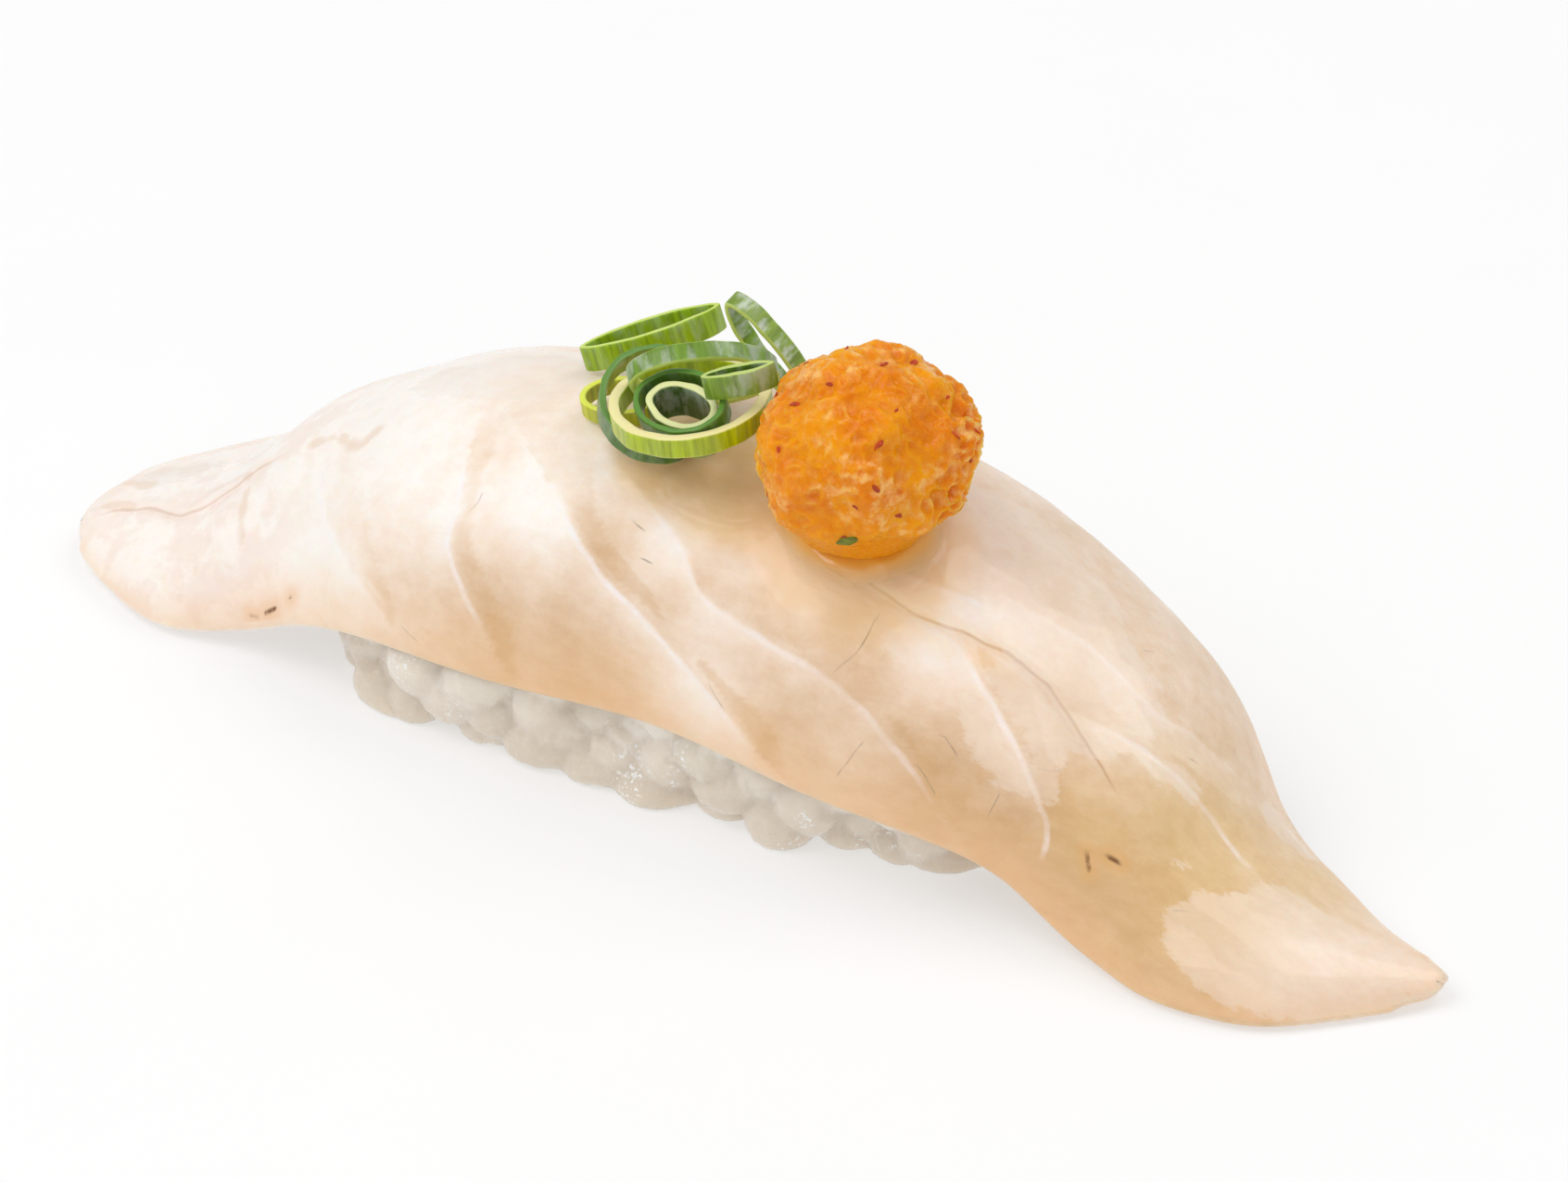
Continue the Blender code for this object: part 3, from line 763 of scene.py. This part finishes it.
def makeRice(fishTree):
    draw = random.Random(rice["seed"])
    wallTree = treeOf(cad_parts["rice"])
    shape, shapeFaces = modelGrain()
    low, high = [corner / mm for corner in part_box("rice")]
    block = high - low
    loop = 2 * (block.x + block.y) * 0.93       # the rounded corners make it shorter
    count = round(loop / rice["pitch"])
    everyPoint, everyFace = [], []
    for row, height in enumerate(rice["rowHeights"]):
        for angle in np.linspace(0, 2 * math.pi, count, endpoint=False):
            evened = math.atan2(math.sin(angle) * block.y, math.cos(angle) * block.x) / (2 * math.pi)
            shift = draw.uniform(-0.005, 0.005) + 0.5 / count * (row % 2)
            found = riceWall(wallTree, low, high, evened + shift, height + draw.uniform(-0.5, 0.5))
            if found is None:
                continue
            point, normal = found
            spin = draw.choice((draw.uniform(-30, 30), draw.uniform(-20, 20), draw.uniform(35, 100)))
            lean = Euler((0, math.radians(draw.uniform(-20, 20)), math.radians(spin))).to_matrix()
            up = Vector((0, 0, 1))
            basis = Matrix((up.cross(normal), up, normal)).transposed() @ lean
            size = np.array([draw.uniform(*rice["lengthRange"]) * rice["grainLength"], 0, 0])
            size[1:] = draw.uniform(*rice["widthRange"]) * rice["grainWidth"]
            bend = draw.uniform(-0.5, 0.5)
            local = shape * size
            local[:, 2] += bend * (4 * shape[:, 0] ** 2 - 0.3)
            turned = local @ np.array(basis).T
            for extra in range(rice["sinkTries"]):
                sink = rice["sink"] + extra * rice["sinkStep"] + draw.uniform(-0.25, 0.4)
                placed = turned + np.array(point - normal * sink)
                if clearOf(fishTree, placed):
                    flattened = rice["floorGap"] + 0.1 * np.clip(placed[:, 2], -1, 0) ** 2
                    placed[:, 2] = np.maximum(placed[:, 2], flattened)
                    start = len(everyPoint) * len(shape)
                    everyFace += [[i + start for i in face] for face in shapeFaces]
                    everyPoint.append(placed)
                    break
    mesh = bpy.data.meshes.new("riceGrains")
    mesh.from_pydata(np.vstack(everyPoint) * mm, [], everyFace)
    grains = bpy.data.objects.new("riceGrains", mesh)
    bpy.context.scene.collection.objects.link(grains)
    core = copyNode("rice", "riceCore", 0)
    applyModifier(core, "REMESH", mode="VOXEL", voxel_size=rice["coreVoxel"] * mm)
    applyModifier(core, "SMOOTH", factor=0.6, iterations=8)
    moveTo(core, pointsOf(core) - normalsOf(core) * rice["coreInset"])
    grainOf = KDTree(len(everyPoint) * len(shape))
    for i, point in enumerate(np.vstack(everyPoint)):
        grainOf.insert(point, i)
    grainOf.balance()
    heap = joinPieces([grains, core], "riceGrains")     # pressed rice: the grains stick to each other
    applyModifier(heap, "REMESH", mode="VOXEL", voxel_size=rice["voxel"] * mm)
    applyModifier(heap, "SMOOTH", factor=0.5, iterations=1)
    points = pointsOf(heap)
    tints = [draw.random() for _ in everyPoint]
    store(heap, "tint", [tints[grainOf.find(point)[1] // len(shape)] for point in points])
    points += normalsOf(heap) * rice["pittingHeight"] * noiseAt(points, rice["pittingSize"])[:, None]
    points[:, 2] = np.maximum(points[:, 2], rice["floorGap"])
    # Painted shade: how much the rice is greyed, most near the floor and none above 8 mm
    store(heap, "low", 0.75 * smoothStep(8.0, 1.0, points[:, 2]))
    moveTo(heap, points)
    bpy.ops.object.shade_smooth()
    finishPiece(heap, makeRiceMaterial(), "rice", "rice")


# Whether a grain stays under the slice of fish, by its gap.
def clearOf(tree, points):
    for point in points[::3]:
        nearest, normal, _, distance = tree.find_nearest(Vector(point) * mm)
        if distance < rice["fishGap"] * mm or (Vector(point) * mm - nearest).dot(normal) < 0:
            return False
    return True


# The ball of grated radish with its flecks of chilli

radish = {
    "levels": 3,
    "lumpSize": 2.6, "lumpHeight": 0.5,
    "crumbSize": 1.0, "crumbHeight": 0.2,
    "grainSize": 0.45, "grainHeight": 0.07,
    "raggedSide": (0.84, 0.55, -0.1), "raggedHeight": 0.5,
    "smoothFoot": (1.6, 4.6),        # mm over the ball's lowest point, where crumbs begin and are full
    "soakedFoot": (5.2, 2.2),        # where sauce begins to soak it, and is full
    "flecks": 34, "fleckLength": 0.75, "fleckSeed": 5,
    "herbFrom": (3.2, -12, -4), "herbAim": (-0.12, 1, 0.14), "herbLength": 1.5,
}
goldenAngle = 2.39996        # radians, spreads the flecks evenly


def makeRadishMaterial():
    material, tree, shader, place = newMaterial("gratedRadish", {
        "Subsurface Weight": 0.6, "Subsurface Radius": (1.0, 0.45, 0.12), "Subsurface Scale": 1.8 * mm,
        "Coat Weight": 0.3, "Coat Roughness": 0.04, "Specular IOR Level": 0.05, "IOR": 1.36,
    })
    clouds = patchMask(tree, place, 300.0, softness=0.2, detail=5.0)
    shreds = patchMask(tree, place, 1100.0, 0.54, 0.1, 6.0)
    banks = patchMask(tree, place, 190.0, softness=0.06)
    deep = mixColor(tree, clouds, paint(228, 126, 0), paint(241, 158, 0))
    crested = multiply(tree, shreds, readAttribute(tree, "crest"))
    pale = multiply(tree, multiply(tree, crested, add(tree, banks, 0.15)), 0.75)
    soaked = readAttribute(tree, "soaked")
    color = layered(tree, deep, (pale, (252, 196, 116)), (soaked, (232, 140, 0)))
    tree.links.new(color, shader.inputs["Base Color"])
    film = wetSkin(tree, shader, place, 1300.0, 0.1, 0.45)
    bumpChain(tree, shader, (shreds, 0.12, 0.4), (film, 0.3, 0.5))
    return material


def makeFleckMaterial(name, color):
    material, tree, shader, place = newMaterial(name, {
        "Specular IOR Level": 0.25, "Coat Weight": 0.2, "Roughness": 0.35,
    })
    cloud = patchMask(tree, place, 2500.0)
    darker = tuple(share * 0.6 for share in color[:3]) + (1.0,)
    tree.links.new(mixColor(tree, cloud, color, darker), shader.inputs["Base Color"])
    return material


# A flake lying in the ball's surface.
def modelFleck(place, normal, length, spin, name):
    selectNone()
    turn = Vector(normal).to_track_quat("Z", "Y") @ Euler((0, 0, spin)).to_quaternion()
    bpy.ops.mesh.primitive_ico_sphere_add(subdivisions=2, radius=1, location=place, rotation=turn.to_euler())
    flake = bpy.context.object
    flake.name = name
    flake.scale = Vector((length / 2, length / 4, length / 9)) * mm
    applyPlace()
    points = pointsOf(flake)
    jagged = np.column_stack([noiseAt(points, 0.35, shift) for shift in (0.0, 7.0, 13.0)])
    moveTo(flake, points + 0.12 * length * jagged)
    bpy.ops.object.shade_smooth()
    return flake


def makeRadish():
    piece = copyNode("radish_ball", "radishBall", radish["levels"])
    points, normals = pointsOf(piece), normalsOf(piece)
    low, high = [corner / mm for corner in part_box("radish_ball")]
    foot = smoothStep(*radish["smoothFoot"], points[:, 2] - low.z)
    crumbs = noiseAt(points, radish["crumbSize"], 2.2)
    lift = radish["lumpHeight"] * noiseAt(points, radish["lumpSize"], 6.1)
    away = points - (np.array(low) + np.array(high)) / 2
    ragged = smoothStep(0.55, 0.95, away @ np.array(radish["raggedSide"]) / np.linalg.norm(away, axis=1))
    lift += (radish["crumbHeight"] + radish["raggedHeight"] * ragged) * (1 - 2.4 * np.abs(crumbs))
    lift += radish["grainHeight"] * noiseAt(points, radish["grainSize"])
    moveTo(piece, insideBox(points + normals * (lift * foot)[:, None]))
    store(piece, "crest", np.clip(0.75 + lift, 0, 1) * foot)
    store(piece, "soaked", smoothStep(*radish["soakedFoot"], points[:, 2] - low.z + 0.6 * crumbs))
    finishPiece(piece, makeRadishMaterial(), "radish", "radish_ball")
    draw = random.Random(radish["fleckSeed"])
    tree = treeOf(piece)
    middle = (low + high) / 2 * mm
    flakes = []
    for i in range(radish["flecks"]):
        up = 1 - 1.5 * (i + 0.5) / radish["flecks"]
        turn = i * goldenAngle + draw.uniform(-0.3, 0.3)
        side = math.sqrt(1 - up * up)
        direction = Vector((side * math.cos(turn), side * math.sin(turn), up))
        hit, normal, _, _ = tree.ray_cast(middle + direction * 20 * mm, -direction)
        length = radish["fleckLength"] * draw.uniform(0.5, 1.25)
        flakes.append(modelFleck(hit, normal, length, draw.uniform(0, 3.1), "chilliFlecks"))
    chilli = joinPieces(flakes, "chilliFlecks")
    finishPiece(chilli, makeFleckMaterial("chilli", paint(204, 70, 10)), "radish")
    aim = Vector(radish["herbAim"]).normalized()
    hit, normal, _, _ = tree.ray_cast(middle + Vector(radish["herbFrom"]) * mm, aim)
    herb = modelFleck(hit, normal, radish["herbLength"], 0.4, "herbFleck")
    finishPiece(herb, makeFleckMaterial("herb", paint(120, 128, 24)), "scallion")


# Scallion rings. Places and half axes in mm and turns in degrees, as the solids have them.

ringShape = {"segments": 72, "rows": 5, "softEdge": 0.09, "waveHeight": 0.1}
rings = [
    {"node": "scallion_tail", "place": (-5.7, -2.9, 23.5), "half": (2.7, 1.9), "height": 1.3, "wall": 0.45,
     "turns": (11, 4, 16), "point": 1.0, "wax": 0.1,
     "outer": (184, 189, 15), "inner": (184, 185, 22), "rim": (224, 232, 85)},
    {"node": "scallion_under", "place": (-2.4, -3.5, 24.75), "half": (3.9, 4.6), "height": 1.5, "wall": 0.45,
     "turns": (17, -11, 26), "point": 1.0, "wax": 0.15,
     "outer": (71, 112, 38), "inner": (148, 159, 29), "rim": (98, 142, 54)},
    {"node": "scallion_front", "place": (1.6, -5.6, 26.95), "half": (5.3, 5.5), "height": 1.4, "wall": 0.75,
     "turns": (-1, 7, 38), "point": 1.0, "wax": 0.06,
     "outer": (166, 184, 0), "inner": (176, 196, 10), "rim": (238, 228, 164)},
    {"node": "scallion_heart", "place": (1.8, -6.5, 26.4), "half": (2.5, 1.75), "height": 3.4, "wall": 0.5,
     "turns": (25, -6, 3), "point": 1.0, "wax": 0.5,
     "outer": (118, 147, 37), "inner": (70, 106, 34), "rim": (222, 226, 160)},
    {"node": "scallion_sleeve", "place": (1.9, -7.0, 27.55), "half": (3.5, 2.65), "height": 1.5, "wall": 0.4,
     "turns": (21, 2, -12), "point": 1.0, "wax": 0.1,
     "outer": (86, 125, 29), "inner": (81, 117, 32), "rim": (92, 140, 48)},
    {"node": "scallion_leaf", "place": (5.5, -5.75, 30.14), "half": (2.42, 0.75), "height": 1.69, "wall": 0.4,
     "turns": (-1.2, 11.6, 35), "point": 1.4, "wax": 0.45,
     "outer": (120, 152, 44), "inner": (92, 126, 30), "rim": (189, 208, 114)},
    {"node": "scallion_arch", "place": (0.85, -3.0, 27.8), "half": (5.0, 2.65), "height": 1.4, "wall": 0.4,
     "turns": (-67, -5, 45), "point": 1.0, "wax": 0.4,
     "outer": (104, 138, 30), "inner": (196, 206, 8), "rim": (196, 215, 106)},
    {"node": "scallion_long", "place": (-7.7, 3.9, 24.5), "half": (4.9, 1.6), "height": 1.8, "wall": 0.4,
     "turns": (-11, 15, 42), "point": 1.2, "wax": 0.22,
     "outer": (146, 176, 8), "inner": (136, 168, 12), "rim": (203, 222, 106)},
    {"node": "scallion_standing", "place": (2.4, 3.0, 26.9), "half": (4.7, 1.45), "height": 1.45, "wall": 0.4,
     "turns": (104, -50, 11), "point": 1.2, "wax": 0.8,
     "outer": (128, 156, 52), "inner": (120, 156, 10), "rim": (201, 218, 122)},
]


# Waxy leaf outside, wet and brighter inside, with a pale cut edge and fibres up the band.
def makeScallionMaterial(ring):
    material, tree, shader, place = newMaterial(ring["node"] + "Leaf", {
        "Subsurface Weight": 0.35, "Subsurface Radius": (0.8, 1.0, 0.15), "Subsurface Scale": 0.7 * mm,
        "Coat Weight": 0.35, "Coat Roughness": 0.15, "IOR": 1.4,
    })
    local = readAttribute(tree, "bandPlace", "Vector")
    upright = stretched(tree, local, (1, 1, 0.07))
    strands = useGroup(tree, fibres, {"Vector": upright, "Scale": 2.6, "Contrast": 1.1})
    walls = layered(tree, paint(*ring["outer"]), (readAttribute(tree, "bandInside"), ring["inner"]))
    streaked = mixColor(tree, 0.8, walls, strands["Tone"], "OVERLAY")
    bloom = patchMask(tree, stretched(tree, local, (1, 1, 0.4)), 0.9, 0.54, 0.1, 8.0)
    wax, cut = multiply(tree, bloom, ring["wax"]), readAttribute(tree, "bandCut")
    color = layered(tree, streaked, (wax, (208, 216, 208)), (cut, ring["rim"]))
    tree.links.new(color, shader.inputs["Base Color"])
    film = wetSkin(tree, shader, place, 600.0, 0.25, 0.5)
    bumpChain(tree, shader, (strands["Height"], 0.1, 0.4), (film, 0.06, 0.3))
    return material


# A closed band about Z: drawn as a loop, pulled up, in over the rim and down again, then bridged.
def modelBand(ring):
    halfLong, halfShort = ring["half"]
    height, wall, rows = ring["height"], ring["wall"], ringShape["rows"]
    selectNone()
    bpy.ops.mesh.primitive_circle_add(vertices=ringShape["segments"], radius=1, fill_type="NOTHING")
    band = bpy.context.object
    points = pointsOf(band) * mm
    side = np.sign(points[:, 1]) * np.abs(points[:, 1]) ** ring["point"]
    outline = np.column_stack([points[:, 0] * halfLong, side * halfShort, np.full(len(points), -height / 2)])
    moveTo(band, outline)
    first = len(points)
    inward = ((halfLong - wall) / halfLong, (halfShort - wall) / halfShort, 1)
    enterEdit()
    for _ in range(rows):
        bpy.ops.mesh.extrude_region_move(TRANSFORM_OT_translate={"value": (0, 0, height / rows * mm)})
    bpy.ops.mesh.extrude_region_move()
    bpy.ops.transform.resize(value=inward, center_override=(0, 0, 0))
    for _ in range(rows):
        bpy.ops.mesh.extrude_region_move(TRANSFORM_OT_translate={"value": (0, 0, -height / rows * mm)})
    bpy.ops.mesh.select_all(action="DESELECT")
    leaveEdit()
    last = len(band.data.vertices) - first
    for edge in band.data.edges:
        ends = edge.vertices
        edge.select = max(ends) < first or min(ends) >= last
    bpy.ops.object.mode_set(mode="EDIT")
    bpy.ops.mesh.bridge_edge_loops()
    bpy.ops.mesh.select_all(action="SELECT")
    bpy.ops.mesh.normals_make_consistent(inside=False)
    leaveEdit()
    applyModifier(
        band, "BEVEL", width=ringShape["softEdge"] * mm, segments=2,
        limit_method="ANGLE", angle_limit=math.radians(50),
    )
    bpy.ops.object.shade_smooth()
    return band


def makeRing(ring):
    band = modelBand(ring)
    band.name = "scallion" + ring["node"].split("_")[1].capitalize() + "Ring"
    points, normals = pointsOf(band), normalsOf(band)
    halfLong, halfShort = ring["half"]
    outward = points[:, :2] / np.array([halfLong**2, halfShort**2])
    outward /= np.linalg.norm(outward, axis=1)[:, None] + 1e-9
    facing = (outward * normals[:, :2]).sum(1)
    flat = np.abs(normals[:, 2])
    store(band, "bandPlace", points)
    store(band, "bandInside", smoothStep(0.15, -0.15, facing))
    store(band, "bandCut", smoothStep(0.45, 0.85, flat))
    ripple = noiseAt(points * np.array([1, 1, 0.15]), 1.1, ring["place"][0]) * ringShape["waveHeight"]
    points[:, :2] += outward * ripple[:, None]
    points[:, 2] *= 1 + 0.05 * noiseAt(points, 2.0, 4.0)
    moveTo(band, points)
    lean, rise, turn = [math.radians(value) for value in ring["turns"]]
    band.rotation_euler = (lean, -rise, turn)
    band.location = Vector(ring["place"]) * mm
    activate(band)
    applyPlace()
    finishPiece(band, makeScallionMaterial(ring), "scallion", ring["node"])


# The thin sauce that has run out under the ball and the rings

glaze = {
    "low": (-6.4, -13.6), "high": (24.4, 4.0), "step": 0.16,    # mm, the grid that the pool is cut from
    "depth": 0.3, "buried": 0.15,
    "skirtHeight": 1.2, "skirt": (5.6, 3.8),    # a foot of gel that rises to the ball between these
    "cover": (0.26, 0.8),    # alpha, from clear sauce to soaked gel
}


def makeGlazeMaterial():
    material, tree, shader, place = newMaterial("ponzuGlaze", {
        "Roughness": 0.12, "Coat Weight": 0.8, "Coat Roughness": 0.03, "Coat IOR": 1.6, "IOR": 1.36,
    })
    soaked = readAttribute(tree, "soaked")
    tint = mixColor(tree, soaked, paint(251, 222, 158), paint(250, 184, 64))
    tree.links.new(tint, shader.inputs["Base Color"])
    cover = mapRange(tree, soaked, 0.0, 1.0, *glaze["cover"])
    tree.links.new(multiply(tree, cover, readAttribute(tree, "depth")), shader.inputs["Alpha"])
    bumpChain(tree, shader, (noiseTexture(tree, place, 420.0), 0.25, 0.35))
    return material


# A pool that follows the fish, with a rounded edge that dips under its surface, and a foot round the ball.
def makeGlaze(fishPiece):
    tree = treeOf(fishPiece)
    low, high = glaze["low"], glaze["high"]
    columns, rows = [round((b - a) / glaze["step"]) for a, b in zip(low, high)]
    selectNone()
    bpy.ops.mesh.primitive_grid_add(x_subdivisions=columns, y_subdivisions=rows, size=2)
    pool = bpy.context.object
    points = pointsOf(pool) * mm
    for axis in (0, 1):      # from the grid's -1 to 1
        points[:, axis] = low[axis] + (points[:, axis] + 1) / 2 * (high[axis] - low[axis])
    depth = sauceDepth(points)
    ballNear = np.hypot(*(points - ballMiddle)[:, :2].T)
    skirt = smoothStep(*glaze["skirt"], ballNear)
    keep = depth > -0.06
    for i, point in enumerate(points):
        hit = tree.ray_cast(Vector((point[0], point[1], 60)) * mm, Vector((0, 0, -1)))[0]
        points[i, 2] = hit.z / mm if hit is not None else 0
    rise = glaze["depth"] * smoothStep(-0.02, 0.16, depth) * (1 + 0.3 * noiseAt(points, 1.8)) - 0.05
    top = points[:, 2] + rise + glaze["skirtHeight"] * skirt**1.6
    under = points[:, 2] - glaze["buried"]
    moveTo(pool, np.column_stack([points[:, :2], top]))
    bpy.ops.object.mode_set(mode="EDIT")
    bpy.ops.mesh.select_mode(type="VERT")
    bpy.ops.mesh.select_all(action="DESELECT")
    leaveEdit()
    for vert, stays in zip(pool.data.vertices, keep):
        vert.select = not stays
    bpy.ops.object.mode_set(mode="EDIT")
    bpy.ops.mesh.delete(type="VERT")
    leaveEdit()
    topCount = len(pool.data.vertices)
    enterEdit()
    bpy.ops.mesh.extrude_region_move(TRANSFORM_OT_translate={"value": (0, 0, -glaze["buried"] * mm)})
    leaveEdit()
    moved = pointsOf(pool)
    moved[topCount:, 2] = under[keep]
    moveTo(pool, moved)
    store(pool, "depth", smoothStep(0.0, 0.28, sauceDepth(moved)))
    near = np.linalg.norm(moved - ballMiddle, axis=1) + 0.35 * noiseAt(moved, 2.2, 1.1)
    store(pool, "soaked", smoothStep(8.8, 7.0, near))
    enterEdit()
    bpy.ops.mesh.normals_make_consistent(inside=False)
    leaveEdit()
    bpy.ops.object.shade_smooth()
    pool.name = "sauceGlaze"
    finishPiece(pool, makeGlazeMaterial(), "radish")


# Floor, light and camera

studio = {
    "world": 0.55, "floorSize": 6, "floorGap": 0.02,
    "key": {"turn": -40, "rise": 58, "away": 0.7, "size": 0.55, "power": 2.1},
    "gloss": {"turn": 140, "rise": 60, "away": 0.8, "size": 0.5, "power": 1.5},
    "fill": {"turn": 30, "rise": 30, "away": 0.9, "size": 0.6, "power": 0.7},
}
view = {
    "turn": 33.1, "rise": 32.0, "away": 0.5, "target": (5.16, 0.0, 11.1),
    "pixelsPerMm": 16.35, "frameWidth": 1692, "sensor": 36,
}


def directionOf(turn, rise):
    turn, rise = math.radians(turn), math.radians(rise)
    return Vector((math.sin(turn) * math.cos(rise), -math.cos(turn) * math.cos(rise), math.sin(rise)))


def addSoftbox(name, light):
    target = Vector(view["target"]) * mm
    place = target + directionOf(light["turn"], light["rise"]) * light["away"]
    bpy.ops.object.light_add(type="AREA", location=place)
    lamp = bpy.context.object
    lamp.name = name
    lamp.data.size = light["size"]
    lamp.data.energy = light["power"]
    lamp.rotation_euler = (target - place).to_track_quat("-Z", "Y").to_euler()


def makeStudio():
    selectNone()
    bpy.ops.mesh.primitive_plane_add(size=studio["floorSize"], location=(0, 0, -studio["floorGap"] * mm))
    floor = bpy.context.object
    floor.name = "floor"
    material, tree, shader, place = newMaterial("whitePaper", {
        "Roughness": 0.9, "Specular IOR Level": 0.1, "Emission Color": (1, 1, 1, 1), "Emission Strength": 0.5,
    })
    grain = patchMask(tree, place, 40.0, softness=0.4)
    paper = mixColor(tree, grain, (0.45, 0.45, 0.45, 1), (0.46, 0.46, 0.46, 1))
    tree.links.new(paper, shader.inputs["Base Color"])
    floor.data.materials.append(material)
    world = bpy.data.worlds.new("whiteRoom")
    world.use_nodes = True
    sky = world.node_tree.nodes["Background"].inputs
    sky["Color"].default_value = (1, 1, 1, 1)
    sky["Strength"].default_value = studio["world"]
    bpy.context.scene.world = world
    for name in ("key", "gloss", "fill"):
        addSoftbox(name, studio[name])
    bpy.context.scene.view_settings.view_transform = "Standard"


def makeCamera():
    target = Vector(view["target"]) * mm
    back = directionOf(view["turn"], view["rise"])
    bpy.ops.object.camera_add(location=target + back * view["away"])
    camera = bpy.context.object
    camera.rotation_euler = (-back).to_track_quat("-Z", "Y").to_euler()
    camera.data.sensor_width = view["sensor"]
    camera.data.lens = view["sensor"] * view["away"] / (view["frameWidth"] / view["pixelsPerMm"] * mm)
    camera.data.clip_start = 0.01
    bpy.context.scene.camera = camera


fishPiece = makeFish()
print("fish ready")
makeRice(treeOf(fishPiece))
print("rice ready")
makeRadish()
print("radish ready")
for ring in rings:
    makeRing(ring)
print("scallion ready")
makeGlaze(fishPiece)
makeStudio()
makeCamera()
print("studio ready")
